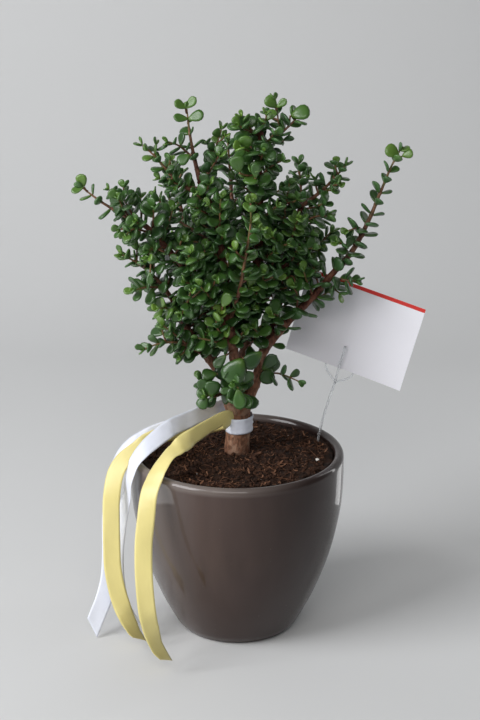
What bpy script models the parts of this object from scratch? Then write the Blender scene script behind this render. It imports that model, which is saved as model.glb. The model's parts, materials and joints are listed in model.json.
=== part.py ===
"""A small jade plant in a turned, glazed pot, with two satin ribbons and a card on a clear pick.

Metres, +Z up. The origin is the centre of the pot's base, on the surface that it stands on.
The front of the plant faces -Y.
"""

import random
from dataclasses import dataclass
from math import cos, pi, sin, tau

import bpy
from mathutils import Euler, Vector
from mathutils.bvhtree import BVHTree

GAP = 0.0004  # between neighbouring solids
SEED = 7

# Pot
POT_HEIGHT = 0.1645
POT_BASE_RADIUS = 0.0525
POT_RADIUS = 0.0942
POT_BELLY_HEIGHT = 0.145  # the wall stands upright above this height
POT_WALL = 0.0088
POT_FLOOR = 0.011
RIM_SHOULDER_HEIGHT = 0.1575  # where the rim starts to turn over
WALL_HEIGHTS = (0.016, 0.034, 0.056, 0.082, 0.112)
POT_SEGMENTS = 48

# Soil
SOIL_EDGE_HEIGHT = 0.159
SOIL_DOME = 0.0035
TRUNK_SOCKET_FLOOR = 0.122

# Trunk and the stubs that it forks into
TRUNK_RADIUS = 0.0111
TRUNK_SIDES = 16
STUB_LENGTH = 0.022
END_STEP = 0.0006
TRUNK_ROUTE = ((0, 0, 0.1225), (0, 0, 0.164), (0.0008, 0, 0.178), (0.0016, 0, 0.190), (0.0016, 0, 0.199),
               (0.001, -0.001, 0.207), (0.0005, 0, 0.214))
TRUNK_RADII = (TRUNK_RADIUS, TRUNK_RADIUS, 0.0106, 0.0098, 0.0102, 0.0125, 0.0085)

# Leaves
LEAF_THICKNESS = 0.0024
LEAF_BASE = 0.0018  # height of the patch of stem that a leaf grows from
LEAF_ASPECT = 0.74  # width over length
LEAF_TIP_ASPECT = 0.4  # width of the tip over the leaf's width
LEAF_CLEARANCE = 0.0006
LEAF_TEST_STEP = 0.0008  # how far from its twig the test for clearance starts
LEAF_SIZES = (1, 0.84, 0.7, 0.58)  # tried in turn, until a leaf fits
TWIG_HALF_WIDTH = 0.0013

# Ribbons
RIBBON_WIDTH = 0.015
RIBBON_THICKNESS = 0.0008
BAND_CENTRE = (0.0015, 0, 0.182)  # of its lower edge
BAND_RADIUS = 0.0115  # inside, so clear of the trunk
BAND_THICKNESS = 0.0009
RIBBON_STEP = 0.0055  # length of the pieces that each tail is made of
BAND_FLARE = 0.0006  # how much wider the band is at its top, where the trunk swells

# Card and its pick
CARD_SIZE = (0.110, 0.0006, 0.078)
CARD_CENTRE = (0.1042, 0.040, 0.262)
CARD_ANGLES = (-0.073, 0.253, -0.337)  # tip back, roll, turn to the left
PICK_RADIUS = 0.0011
PICK_ROUTE = ((0.072, 0.030, 0.128), (0.0722, 0.030, 0.156), (0.0782, 0.031, 0.186))
PICK_OFFSET = -0.003  # how far the pick is from the middle of the card, along its lower edge

COLOURS = {
    "glaze": ((0.125, 0.100, 0.092, 1), 0.18),
    "soil": ((0.035, 0.020, 0.014, 1), 0.95),
    "bark": ((0.270, 0.150, 0.090, 1), 0.75),
    "leaf": ((0.045, 0.130, 0.035, 1), 0.32),
    "white": ((0.850, 0.860, 0.920, 1), 0.40),
    "yellow": ((0.860, 0.770, 0.420, 1), 0.40),
    "card": ((0.820, 0.820, 0.850, 1), 0.60),
    "clear": ((0.900, 0.920, 0.920, 1), 0.08),
}


@dataclass
class Limb:
    """A bare woody limb. The first points come from its parent, or from the fork of the trunk."""

    name: str
    parent: str
    at: float  # how far along the parent it starts, from 0 to 1
    points: tuple
    radii: tuple  # at its start and at its end


@dataclass
class Shoot:
    """A twig with pairs of leaves, each pair turned a quarter from the last."""

    name: str
    parent: str
    at: float
    points: tuple
    pairs: int
    leaf: float  # length of its largest leaf
    bare: float = 0.006  # length of the stretch without leaves
    thick: float = TWIG_HALF_WIDTH  # half the twig's width at its start


LIMBS = (
    Limb("right_long", "", 0, ((0.004, 0, 0.203), (0.0115, 0.002, 0.214), (0.0182, 0.005, 0.232),
         (0.0222, 0.008, 0.250), (0.039, 0.013, 0.272), (0.064, 0.018, 0.297), (0.085, 0.022, 0.321)),
         (0.0049, 0.0036)),
    Limb("left_low", "", 0, ((-0.003, 0.001, 0.205), (-0.009, -0.001, 0.2275), (-0.017, -0.004, 0.240),
         (-0.027, -0.009, 0.255), (-0.038, -0.012, 0.271), (-0.048, -0.016, 0.292)), (0.0046, 0.0034)),
    Limb("front_stem", "", 0, ((0, -0.003, 0.203), (-0.001, -0.011, 0.232), (-0.003, -0.015, 0.261),
         (-0.008, -0.016, 0.292), (-0.010, -0.016, 0.323), (-0.014, -0.014, 0.353),
         (-0.021, -0.012, 0.382), (-0.031, -0.011, 0.407)), (0.0048, 0.0028)),
    Limb("centre_stem", "", 0, ((0.001, 0.002, 0.203), (0.004, 0.010, 0.234), (0.010, 0.012, 0.270),
         (0.015, 0.012, 0.306), (0.018, 0.009, 0.342), (0.019, 0.005, 0.374), (0.018, 0.001, 0.406),
         (0.019, -0.002, 0.435), (0.019, -0.003, 0.446)), (0.0050, 0.0036)),
    Limb("right_mid", "centre_stem", 0.26, ((0.019, 0.019, 0.288), (0.035, 0.026, 0.313),
         (0.044, 0.028, 0.337), (0.048, 0.027, 0.357), (0.055, 0.025, 0.377)), (0.0040, 0.0027)),
    Limb("left_upper", "front_stem", 0.37, ((-0.019, -0.024, 0.303), (-0.036, -0.030, 0.330),
         (-0.055, -0.033, 0.351), (-0.072, -0.033, 0.371), (-0.091, -0.031, 0.381)), (0.0038, 0.0024)),
    Limb("back_left", "left_low", 0.42, ((-0.026, 0.014, 0.278), (-0.036, 0.036, 0.318),
         (-0.046, 0.050, 0.356)), (0.0036, 0.0026)),
    Limb("back_right", "right_long", 0.40, ((0.036, 0.034, 0.284), (0.048, 0.050, 0.322),
         (0.054, 0.060, 0.352)), (0.0036, 0.0026)),
    Limb("back_mid", "centre_stem", 0.22, ((0.002, 0.034, 0.292), (-0.002, 0.050, 0.332),
         (-0.004, 0.056, 0.372)), (0.0036, 0.0026)),
)

SHOOTS = (
    Shoot("right_long_tip", "right_long", 1, ((0.099, 0.024, 0.337), (0.112, 0.026, 0.362),
          (0.122, 0.028, 0.387), (0.132, 0.030, 0.412), (0.138, 0.031, 0.423)), 12, 0.0135, 0.004, 0.0030),
    Shoot("right_long_low", "right_long", 0.50, ((0.035, 0, 0.286), (0.030, -0.010, 0.291)), 3, 0.015),
    Shoot("right_long_mid", "right_long", 0.66, ((0.052, 0.008, 0.302), (0.048, 0.002, 0.311)), 3, 0.014),
    Shoot("right_long_up", "right_long", 0.80, ((0.060, 0.010, 0.314), (0.057, 0.006, 0.324)), 3, 0.014),
    Shoot("front_tip", "front_stem", 1, ((-0.036, -0.009, 0.429), (-0.039, -0.008, 0.447),
          (-0.041, -0.007, 0.465)), 5, 0.013, 0.010, 0.0024),
    Shoot("front_tip_left", "front_tip", 0.30, ((-0.047, -0.014, 0.436), (-0.056, -0.019, 0.440)), 3, 0.012),
    Shoot("crown_left", "centre_stem", 0.975, ((0.010, -0.007, 0.450), (0.004, -0.009, 0.459)), 3, 0.012),
    Shoot("crown_right", "centre_stem", 1, ((0.023, -0.008, 0.455), (0.024, -0.012, 0.461)), 2, 0.012),
    Shoot("crown_front", "centre_stem", 0.90, ((0.011, -0.014, 0.431), (0.004, -0.024, 0.436)), 3, 0.015),
    Shoot("top_right", "centre_stem", 0.86, ((0.027, 0.006, 0.428), (0.034, 0.010, 0.440),
          (0.034, 0.010, 0.455), (0.031, 0.009, 0.470)), 5, 0.012, 0.010),
    Shoot("top_far_right", "top_right", 0.50, ((0.043, 0.006, 0.449), (0.051, 0.003, 0.458)), 3, 0.014),
    Shoot("centre_right", "centre_stem", 0.83, ((0.027, -0.007, 0.417), (0.036, -0.012, 0.423)), 3, 0.013),
    Shoot("centre_face", "centre_stem", 0.78, ((0.015, -0.012, 0.408), (0.014, -0.023, 0.416)), 3, 0.016),
    Shoot("left_upper_tip", "left_upper", 1, ((-0.110, -0.029, 0.392), (-0.126, -0.028, 0.404)), 5,
          0.013, 0.004, 0.0018),
    Shoot("left_upright", "left_upper", 0.93, ((-0.092, -0.034, 0.396), (-0.092, -0.036, 0.406)), 3, 0.013),
    Shoot("left_hang", "left_upper", 0.80, ((-0.083, -0.046, 0.374), (-0.089, -0.056, 0.372)), 3, 0.014),
    Shoot("left_upper_low", "left_upper", 0.62, ((-0.068, -0.045, 0.358), (-0.072, -0.056, 0.355)), 3, 0.014),
    Shoot("left_mid_tip", "front_stem", 0.60, ((-0.021, -0.008, 0.350), (-0.034, -0.002, 0.360),
          (-0.052, 0.005, 0.371), (-0.062, 0.009, 0.380), (-0.069, 0.013, 0.389)), 6, 0.013, 0.026, 0.0022),
    Shoot("upper_left_tip", "front_stem", 0.93, ((-0.036, -0.017, 0.399), (-0.047, -0.020, 0.406),
          (-0.057, -0.021, 0.417), (-0.067, -0.021, 0.429), (-0.077, -0.021, 0.438)), 7, 0.013, 0.012,
          0.0020),
    Shoot("top_left", "front_stem", 0.97, ((-0.023, -0.003, 0.416), (-0.018, 0.002, 0.430),
          (-0.013, 0.005, 0.446)), 5, 0.012, 0.010),
    Shoot("face_left", "front_stem", 0.88, ((-0.029, -0.026, 0.394), (-0.033, -0.036, 0.401)), 3, 0.014),
    Shoot("face_mid", "front_stem", 0.74, ((-0.014, -0.030, 0.380), (-0.013, -0.040, 0.398)), 4, 0.014),
    Shoot("left_low_tip", "left_low", 1, ((-0.058, -0.018, 0.312), (-0.071, -0.021, 0.329),
          (-0.084, -0.023, 0.340), (-0.095, -0.025, 0.347)), 8, 0.014, 0.008, 0.0026),
    Shoot("left_low_down", "left_low_tip", 0.38, ((-0.075, -0.032, 0.321), (-0.084, -0.040, 0.321)), 3,
          0.015),
    Shoot("left_low_light", "left_low", 0.96, ((-0.058, -0.030, 0.302), (-0.065, -0.040, 0.305)), 3, 0.015),
    Shoot("low_left", "left_low", 0.52, ((-0.036, -0.024, 0.264), (-0.051, -0.032, 0.273),
          (-0.066, -0.037, 0.273), (-0.077, -0.040, 0.270)), 7, 0.014, 0.010, 0.0018),
    Shoot("base_left", "left_low", 0.24, ((-0.024, -0.016, 0.219), (-0.032, -0.022, 0.225),
          (-0.036, -0.025, 0.234)), 3, 0.014),
    Shoot("base_right", "right_long", 0.20, ((0.032, 0.002, 0.234), (0.042, -0.002, 0.233),
          (0.053, -0.005, 0.229)), 4, 0.013, 0.008),
    Shoot("base_front", "front_stem", 0.14, ((-0.004, -0.026, 0.238), (-0.003, -0.038, 0.240)), 3, 0.017),
    Shoot("front_shoot", "front_stem", 0.40, ((0.002, -0.034, 0.319), (0.008, -0.043, 0.356),
          (0.011, -0.046, 0.377), (0.011, -0.047, 0.396)), 7, 0.014, 0.030, 0.0020),
    Shoot("right_face", "centre_stem", 0.40, ((0.021, -0.008, 0.314), (0.022, -0.028, 0.332)), 4, 0.014,
          0.010),
    Shoot("right_mid_tip", "right_mid", 1, ((0.069, 0.023, 0.388), (0.081, 0.022, 0.400),
          (0.091, 0.022, 0.412)), 6, 0.013, 0.004, 0.0022),
    Shoot("right_mid_light", "right_mid", 0.62, ((0.049, 0.006, 0.363), (0.051, -0.010, 0.374)), 4, 0.013),
    Shoot("right_mid_out", "right_mid", 0.84, ((0.066, 0.018, 0.369), (0.076, 0.013, 0.371)), 3, 0.015),
    Shoot("right_mid_low", "right_mid", 0.40, ((0.052, 0.018, 0.337), (0.064, 0.012, 0.343)), 3, 0.014),
    Shoot("left_face", "left_upper", 0.34, ((-0.038, -0.044, 0.344), (-0.039, -0.056, 0.356)), 4, 0.014),
    Shoot("back_left_tip", "back_left", 1, ((-0.052, 0.056, 0.382), (-0.058, 0.060, 0.408)), 6,
          0.014, 0.004, 0.0022),
    Shoot("back_left_low", "back_left", 0.55, ((-0.054, 0.042, 0.330), (-0.070, 0.046, 0.346)), 4, 0.014),
    Shoot("back_right_tip", "back_right", 1, ((0.056, 0.066, 0.382), (0.054, 0.068, 0.404)), 6,
          0.014, 0.004, 0.0022),
    Shoot("back_right_low", "back_right", 0.60, ((0.068, 0.054, 0.332), (0.082, 0.056, 0.346)), 4, 0.014),
    Shoot("back_mid_tip", "back_mid", 1, ((-0.006, 0.060, 0.398), (-0.008, 0.062, 0.424)), 6,
          0.014, 0.004, 0.0022),
)

# Each ribbon's route, from the trunk to its free end, and the way that its width points there.
RIBBONS = {
    "ribbon_yellow_front": (
        "yellow",
        ((-0.0095, -0.015, 0.199), (-0.0205, -0.0215, 0.196), (-0.035, -0.034, 0.191),
         (-0.0445, -0.044, 0.1875), (-0.051, -0.052, 0.1845), (-0.0585, -0.061, 0.181),
         (-0.065, -0.069, 0.1735), (-0.069, -0.0745, 0.1665), (-0.0735, -0.082, 0.1555),
         (-0.076, -0.089, 0.1355), (-0.078, -0.094, 0.115), (-0.078, -0.099, 0.09),
         (-0.076, -0.1035, 0.0625), (-0.073, -0.1055, 0.045), (-0.0675, -0.1065, 0.0265),
         (-0.06, -0.1065, 0.014)),
        ((0, 0.3, -1), (0, 0.3, -1), (0.1, 0.35, -0.9), (0.2, 0.3, -0.9), (0.4, 0.1, -0.9),
         (0.65, -0.3, -0.6), (0.8, -0.5, -0.2), (0.9, -0.4, -0.1), (0.95, -0.3, 0), (1, -0.1, 0),
         (1, 0, 0), (1, 0, 0), (1, 0.1, 0), (0.95, 0.3, 0), (0.8, 0.6, -0.1), (0.6, 0.8, -0.2)),
    ),
    "ribbon_yellow_rear": (
        "yellow",
        ((-0.021, 0.0105, 0.183), (-0.0325, 0.0065, 0.1805), (-0.046, -0.001, 0.1805),
         (-0.0585, -0.0085, 0.182), (-0.0685, -0.015, 0.1815), (-0.078, -0.0205, 0.1785),
         (-0.086, -0.025, 0.1735), (-0.098, -0.03, 0.1655), (-0.105, -0.036, 0.154),
         (-0.108, -0.043, 0.1355), (-0.1085, -0.046, 0.115), (-0.1085, -0.048, 0.0945),
         (-0.108, -0.051, 0.075), (-0.105, -0.054, 0.0565), (-0.101, -0.057, 0.0425),
         (-0.0955, -0.06, 0.0285), (-0.0895, -0.062, 0.0165), (-0.085, -0.063, 0.0105)),
        ((0, 0.1, -1), (0, 0.15, -1), (0, 0.15, -1), (0.05, 0.1, -1), (0.2, 0, -1), (0.45, -0.3, -0.8),
         (0.6, -0.5, -0.6), (0.75, -0.5, -0.4), (0.95, -0.3, -0.15), (1, -0.1, 0), (1, -0.05, 0),
         (1, 0, 0), (1, 0, 0), (1, 0.1, 0), (0.95, 0.2, 0), (0.85, 0.5, 0), (0.7, 0.65, -0.1),
         (0.6, 0.75, -0.2)),
    ),
    "ribbon_white_front": (
        "white",
        ((-0.0045, 0.0175, 0.1955), (-0.013, 0.014, 0.1975), (-0.0205, 0.006, 0.1985),
         (-0.0315, -0.003, 0.198), (-0.0435, -0.011, 0.195), (-0.0535, -0.019, 0.1935),
         (-0.061, -0.025, 0.1905), (-0.072, -0.033, 0.184), (-0.0805, -0.039, 0.1775),
         (-0.087, -0.042, 0.17), (-0.09, -0.044, 0.163), (-0.093, -0.043, 0.1515),
         (-0.0955, -0.037, 0.133), (-0.1005, -0.032, 0.1145), (-0.105, -0.031, 0.0925),
         (-0.107, -0.034, 0.071), (-0.1055, -0.04, 0.0505), (-0.101, -0.044, 0.033),
         (-0.095, -0.047, 0.02)),
        ((0, 0, -1), (0.1, 0.1, -1), (0.15, 0.3, -0.95), (0.2, 0.1, -0.95), (0.25, -0.1, -0.95),
         (0.35, -0.3, -0.9), (0.45, -0.5, -0.75), (0.5, -0.65, -0.55), (0.55, -0.75, -0.35),
         (0.6, -0.8, -0.1), (0.5, -0.85, 0), (0.4, -0.92, 0), (0.45, -0.88, 0), (0.7, -0.7, 0),
         (0.9, -0.4, 0), (1, 0, 0), (1, 0, 0), (1, 0, 0), (1, 0, 0)),
    ),
    "ribbon_white_rear": (
        "white",
        ((-0.0045, 0.021, 0.187), (-0.017, 0.018, 0.1865), (-0.0325, 0.014, 0.185),
         (-0.0465, 0.009, 0.1835), (-0.0605, 0.004, 0.182), (-0.073, 0, 0.1785), (-0.084, -0.004, 0.174),
         (-0.0945, -0.008, 0.1695), (-0.103, -0.01, 0.1605), (-0.108, -0.012, 0.1455),
         (-0.1105, -0.013, 0.124), (-0.112, -0.015, 0.1025), (-0.112, -0.018, 0.0825),
         (-0.1125, -0.021, 0.0645), (-0.114, -0.025, 0.049), (-0.118, -0.03, 0.034),
         (-0.1235, -0.035, 0.0205), (-0.1285, -0.039, 0.009)),
        ((0, 0, -1), (0, 0, -1), (0, 0, -1), (0, 0, -1), (0.1, -0.1, -1), (0.2, -0.25, -0.9),
         (0.35, -0.5, -0.75), (0.35, -0.8, -0.4), (0.4, -0.85, -0.15), (0.6, -0.75, 0), (0.85, -0.5, 0),
         (1, -0.2, 0), (1, 0, 0), (1, 0, 0), (1, 0, -0.1), (1, 0, -0.25), (1, 0, -0.4), (1, 0, -0.5)),
    ),
}


def clear_scene():
    for old in list(bpy.data.objects):
        bpy.data.objects.remove(old)


def make_material(name, finish):
    colour, roughness = COLOURS[finish]
    material = bpy.data.materials.new(name)
    material.use_nodes = True
    shader = material.node_tree.nodes["Principled BSDF"]
    shader.inputs["Base Color"].default_value = colour
    shader.inputs["Roughness"].default_value = roughness
    material.diffuse_color = colour
    return material


def add_object(name, points, faces, finish, smooth=False):
    """A mesh object whose outer side is where its faces' corners run anticlockwise."""
    mesh = bpy.data.meshes.new(name)
    mesh.from_pydata([tuple(point) for point in points], [], faces)
    mesh.validate()
    mesh.materials.append(make_material(name, finish))
    if smooth:
        mesh.shade_smooth()
        mesh.set_sharp_from_angle(angle=0.7)
    made = bpy.data.objects.new(name, mesh)
    bpy.context.scene.collection.objects.link(made)
    return made


def add_helper(name, points, faces):
    """A shape that only a Boolean reads."""
    helper = add_object(name, points, faces, "card")
    helper.hide_render = True
    helper.display_type = "WIRE"
    return helper


def add_boolean(target, helper, operation):
    modifier = target.modifiers.new(helper.name, "BOOLEAN")
    modifier.operation = operation
    modifier.object = helper


# Turned shapes


def turned(profile, segments):
    """Points and faces of a profile of (radius, height) turned about Z, its outer side run bottom to top."""
    points = []
    rings = []
    for radius, height in profile:
        if radius == 0:
            rings.append([len(points)])
            points.append(Vector((0, 0, height)))
            continue
        rings.append(list(range(len(points), len(points) + segments)))
        for step in range(segments):
            angle = tau * step / segments
            points.append(Vector((radius * cos(angle), radius * sin(angle), height)))
    faces = []
    for low, high in zip(rings, rings[1:] + rings[:1]):
        if len(low) == 1 and len(high) == 1:
            continue
        for step in range(segments):
            after = (step + 1) % segments
            if len(low) == 1:
                faces.append((low[0], high[after], high[step]))
            elif len(high) == 1:
                faces.append((low[step], low[after], high[0]))
            else:
                faces.append((low[step], low[after], high[after], high[step]))
    return points, faces


def pot_radius(height):
    """The outer wall: a parabola that swells from the base and then stands upright."""
    rise = min(height / POT_BELLY_HEIGHT, 1)
    return POT_BASE_RADIUS + (POT_RADIUS - POT_BASE_RADIUS) * (1 - (1 - rise) ** 2)


def bore_radius(height):
    return pot_radius(height) - POT_WALL


def make_pot():
    outer = [(pot_radius(height), height) for height in (0.004, *WALL_HEIGHTS, RIM_SHOULDER_HEIGHT)]
    middle = POT_RADIUS - POT_WALL / 2
    lip = []
    for step in range(1, 5):
        angle = pi * step / 5
        rise = (POT_HEIGHT - RIM_SHOULDER_HEIGHT) * sin(angle) ** 0.7
        lip.append((middle + POT_WALL / 2 * cos(angle), RIM_SHOULDER_HEIGHT + rise))
    inner = [(bore_radius(height), height) for height in (RIM_SHOULDER_HEIGHT, *WALL_HEIGHTS[:0:-1], 0.020)]
    profile = [(0, 0), (POT_BASE_RADIUS - 0.002, 0)] + outer + lip + inner
    profile += [(bore_radius(0.020) - 0.006, POT_FLOOR), (0, POT_FLOOR)]
    return add_object("pot", *turned(profile, POT_SEGMENTS), "glaze", smooth=True)


def soil_height(radius):
    return SOIL_EDGE_HEIGHT + SOIL_DOME * (1 - (radius / bore_radius(SOIL_EDGE_HEIGHT)) ** 2)


def make_soil():
    """It fills the pot up to just under the rim, with a socket for the trunk and a hole for the pick."""
    clearance = 1.5 * GAP
    side = [(bore_radius(height) - clearance, height) for height in (0.020, *WALL_HEIGHTS[1:])]
    edge = bore_radius(SOIL_EDGE_HEIGHT) - clearance
    top = [(radius, soil_height(radius)) for radius in (edge, 0.060, 0.035)]
    socket = TRUNK_RADIUS + GAP
    profile = [(0, POT_FLOOR + clearance), (bore_radius(0.020) - 0.0072, POT_FLOOR + clearance)] + side + top
    profile += [(socket, soil_height(socket)), (socket, TRUNK_SOCKET_FLOOR), (0, TRUNK_SOCKET_FLOOR)]
    soil = add_object("soil", *turned(profile, POT_SEGMENTS), "soil")
    foot = Vector(PICK_ROUTE[0])
    hole = [foot - Vector((0, 0, GAP)), foot + Vector((0, 0, 0.060))]
    add_boolean(soil, add_helper("pick_hole", *tube(hole, [PICK_RADIUS + 2 * GAP] * 2, 12)), "DIFFERENCE")
    return soil


# Tubes along a smooth route


def smooth_route(points, step):
    """A Catmull-Rom curve through the points, as points about one step apart."""
    points = [Vector(point) for point in points]
    ends = [2 * points[0] - points[1]] + points + [2 * points[-1] - points[-2]]
    route = []
    for a, b, c, d in zip(ends, ends[1:], ends[2:], ends[3:]):
        pieces = max(1, round((c - b).length / step))
        for piece in range(pieces):
            t = piece / pieces
            route.append(0.5 * (2 * b + (c - a) * t + (2 * a - 5 * b + 4 * c - d) * t**2
                                + (3 * b - a - 3 * c + d) * t**3))
    return route + [points[-1]]


def route_length(route):
    return sum((b - a).length for a, b in zip(route, route[1:]))


def along(route, distance):
    """The point at this distance along a route, and the direction there."""
    for a, b in zip(route, route[1:]):
        piece = (b - a).length
        if distance <= piece or b is route[-1]:
            return a + (b - a) * (distance / piece), (b - a).normalized()
        distance -= piece


def cut_route(route, start, end, step):
    """The stretch between two distances, with a point close to each end so that the ends are square."""
    count = max(2, round((end - start) / step) + 1)
    distances = [start + (end - start) * i / (count - 1) for i in range(count)]
    distances[1:1] = [start + END_STEP]
    distances[-1:-1] = [end - END_STEP]
    return [along(route, distance)[0] for distance in distances]


def frames(route, first=Vector((1, 0, 0))):
    """Two directions across a route at each point, carried along it with no twist."""
    across = first
    found = []
    for i, point in enumerate(route):
        ahead = (route[min(i + 1, len(route) - 1)] - route[max(i - 1, 0)]).normalized()
        across = (across - ahead * across.dot(ahead)).normalized()
        found.append((across, ahead.cross(across), ahead))
    return found


def tube(route, radii, sides):
    points = []
    for centre, radius, (across, up, _) in zip(route, radii, frames(route)):
        for side in range(sides):
            angle = tau * (side + 0.5) / sides
            points.append(centre + radius * (cos(angle) * across + sin(angle) * up))
    faces = [tuple(range(sides))[::-1], tuple(range(len(points) - sides, len(points)))]
    for ring in range(0, len(points) - sides, sides):
        for side in range(sides):
            after = (side + 1) % sides
            faces.append((ring + side, ring + after, ring + sides + after, ring + sides + side))
    return points, faces


def tapered(route, start, end):
    last = len(route) - 1
    return [start + (end - start) * i / last for i in range(last + 1)]


# Wood


def start_off(parent_route, at, first, own_radius, parent_radii):
    """Where a branch starts: just clear of its parent's side, or just past its parent's end."""
    distance = at * route_length(parent_route)
    axis, ahead = along(parent_route, distance)
    towards = (Vector(first) - axis).normalized()
    parent_radius = parent_radii[0] + (parent_radii[1] - parent_radii[0]) * at
    slope = towards.dot(ahead)
    slant = (1 - slope**2) ** 0.5
    if at == 1:
        return axis + ahead * (2 * GAP + own_radius * slant)
    return axis + towards * (parent_radius + 2.5 * GAP + own_radius * abs(slope)) / slant


def plan_limbs():
    """Each limb's route and its radii, with the forked limbs cut where the trunk's stubs end."""
    plans = {}
    for limb in LIMBS:
        if limb.parent:
            start = start_off(plans[limb.parent][0], limb.at, limb.points[0], limb.radii[0],
                              plans[limb.parent][1])
            route = smooth_route((start,) + limb.points, 0.010)
        else:
            whole = smooth_route(limb.points, 0.001)
            route = cut_route(whole, STUB_LENGTH + GAP, route_length(whole), 0.011)
        plans[limb.name] = (route, limb.radii)
    return plans


def make_trunk():
    """The trunk, joined with a stub for each limb that grows from its fork."""
    route = smooth_route(TRUNK_ROUTE, 0.012)
    radii = []
    for point in route:
        above = [i for i, knot in enumerate(TRUNK_ROUTE) if knot[2] >= point.z - 1e-6]
        after = above[0] if above else len(TRUNK_ROUTE) - 1
        before = max(after - 1, 0)
        low, high = TRUNK_ROUTE[before][2], TRUNK_ROUTE[after][2]
        share = (point.z - low) / (high - low) if high > low else 1
        radii.append(TRUNK_RADII[before] + (TRUNK_RADII[after] - TRUNK_RADII[before]) * share)
    trunk = add_object("trunk", *tube(route, radii, TRUNK_SIDES), "bark", smooth=True)
    for limb in LIMBS:
        if limb.parent:
            continue
        stub = cut_route(smooth_route(limb.points, 0.001), 0, STUB_LENGTH, 0.008)
        radii = tapered(stub, limb.radii[0] + 0.001, limb.radii[0])
        add_boolean(trunk, add_helper("stub_" + limb.name, *tube(stub, radii, 8)), "UNION")
    return trunk


def make_limbs(plans):
    made = []
    for name, (route, radii) in plans.items():
        made.append(add_object("limb_" + name, *tube(route, tapered(route, *radii), 8), "bark", smooth=True))
    return made


# Leafy shoots


def leaf_points(centre, outward, tangent, ahead, half_width, length, angle, margin=0.0):
    """The six corners that a leaf adds beyond the patch of stem it grows from."""
    reach = cos(angle) * ahead + sin(angle) * outward
    upper = sin(angle) * ahead - cos(angle) * outward
    root = centre + outward * half_width
    middle = root + reach * 0.62 * length
    wide = tangent * (LEAF_ASPECT * length / 2 + margin)
    thick = upper * (LEAF_THICKNESS / 2 + margin)
    tip = root + reach * (length + margin)
    narrow = tangent * (LEAF_ASPECT * LEAF_TIP_ASPECT * length / 2 + margin)
    return [middle - wide - thick, middle + wide - thick, middle + wide + thick, middle - wide + thick,
            tip - narrow, tip + narrow]


def leaf_faces(base, own):
    """The faces between a leaf's base corners and its own six corners."""
    low_left, low_right, high_right, high_left, tip_left, tip_right = own
    around = (low_left, low_right, high_right, high_left)
    faces = []
    for i in range(4):
        after = (i + 1) % 4
        faces.append((base[i], base[after], around[after], around[i]))
    faces.append((low_left, low_right, tip_right, tip_left))
    faces.append((low_right, high_right, tip_right))
    faces.append((high_right, high_left, tip_left, tip_right))
    faces.append((high_left, low_left, tip_left))
    return faces


def twig_rings(shoot, route):
    """(distance, kind) of each ring of a twig: below and above each pair of leaves, and between them."""
    length = route_length(route)
    spacing = (length - shoot.bare - LEAF_BASE) / (shoot.pairs - 0.5)
    rings = [0.0]
    if shoot.bare > 0.014:
        rings += [shoot.bare * 0.33, shoot.bare * 0.66]
    pairs = []
    for pair in range(shoot.pairs):
        low = min(shoot.bare + pair * spacing, length - 1.4 * LEAF_BASE)
        pairs.append(len(rings))
        rings += [low, low + LEAF_BASE]
    rings.append(length)
    return rings, pairs, length


class Growth:
    """Adds leaves to twigs, and leaves out each one that would reach into something else."""

    def __init__(self, solids):
        graph = bpy.context.evaluated_depsgraph_get()
        self.solids = {made.name: BVHTree.FromObject(made, graph) for made in solids}
        self.leaves = []

    def add_twig(self, name, points, faces):
        self.solids[name] = BVHTree.FromPolygons(points, faces)

    def fits(self, name, corners, faces):
        tree = BVHTree.FromPolygons(corners, faces)
        if any(tree.overlap(other) for other in self.leaves):
            return False
        return not any(tree.overlap(other) for solid, other in self.solids.items() if solid != name)

    def place(self, name, root, outward, tangent, ahead, half_width, length, angle):
        """The leaf's corners at the largest size that fits, or None."""
        edge = tangent * half_width
        base = [root + outward * (half_width + LEAF_TEST_STEP) + edge * i + ahead * LEAF_BASE / 2 * j
                for i, j in ((-1, -1), (1, -1), (1, 1), (-1, 1))]
        for size in LEAF_SIZES:
            test = base + leaf_points(root, outward, tangent, ahead, half_width, size * length, angle,
                                      LEAF_CLEARANCE)
            faces = leaf_faces((0, 1, 2, 3), range(4, 10)) + [(3, 2, 1, 0)]
            if self.fits(name, test, faces):
                self.leaves.append(BVHTree.FromPolygons(test, faces))
                return leaf_points(root, outward, tangent, ahead, half_width, size * length, angle)
        return None


def plan_shoots(limb_plans):
    """Each shoot's route, as fine as its rings need."""
    plans = dict(limb_plans)
    for shoot in SHOOTS:
        parent_route, parent_radii = plans[shoot.parent]
        start = start_off(parent_route, shoot.at, shoot.points[0], 1.42 * shoot.thick, parent_radii)
        route = smooth_route((start,) + shoot.points, 0.002)
        plans[shoot.name] = (route, (1.42 * shoot.thick, 1.42 * 0.0010))
    return {shoot.name: plans[shoot.name][0] for shoot in SHOOTS}


def twig_mesh(shoot, route):
    """The twig's own corners, four to a ring, and the two ways across it at each ring."""
    rings, pairs, length = twig_rings(shoot, route)
    centres = [along(route, distance)[0] for distance in rings]
    ways = frames(centres, Vector((0.6, -0.8, 0.1)))
    points = []
    for distance, centre, (across, up, _) in zip(rings, centres, ways):
        half = shoot.thick + (0.0010 - shoot.thick) * distance / length
        points += [centre + half * (across * i + up * j) for i, j in ((1, -1), (1, 1), (-1, 1), (-1, -1))]
    return points, centres, ways, pairs


def twig_faces(ring_count, leafy=()):
    """The sides and ends of a twig. A side that a leaf grows from, (ring, side), is left out."""
    faces = [(3, 2, 1, 0)]
    for ring in range(ring_count - 1):
        for side in range(4):
            if (ring, side) in leafy:
                continue
            a, b = 4 * ring + side, 4 * ring + (side + 1) % 4
            faces.append((a, b, b + 4, a + 4))
    last = 4 * (ring_count - 1)
    faces.append((last, last + 1, last + 2, last + 3))
    return faces


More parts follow.
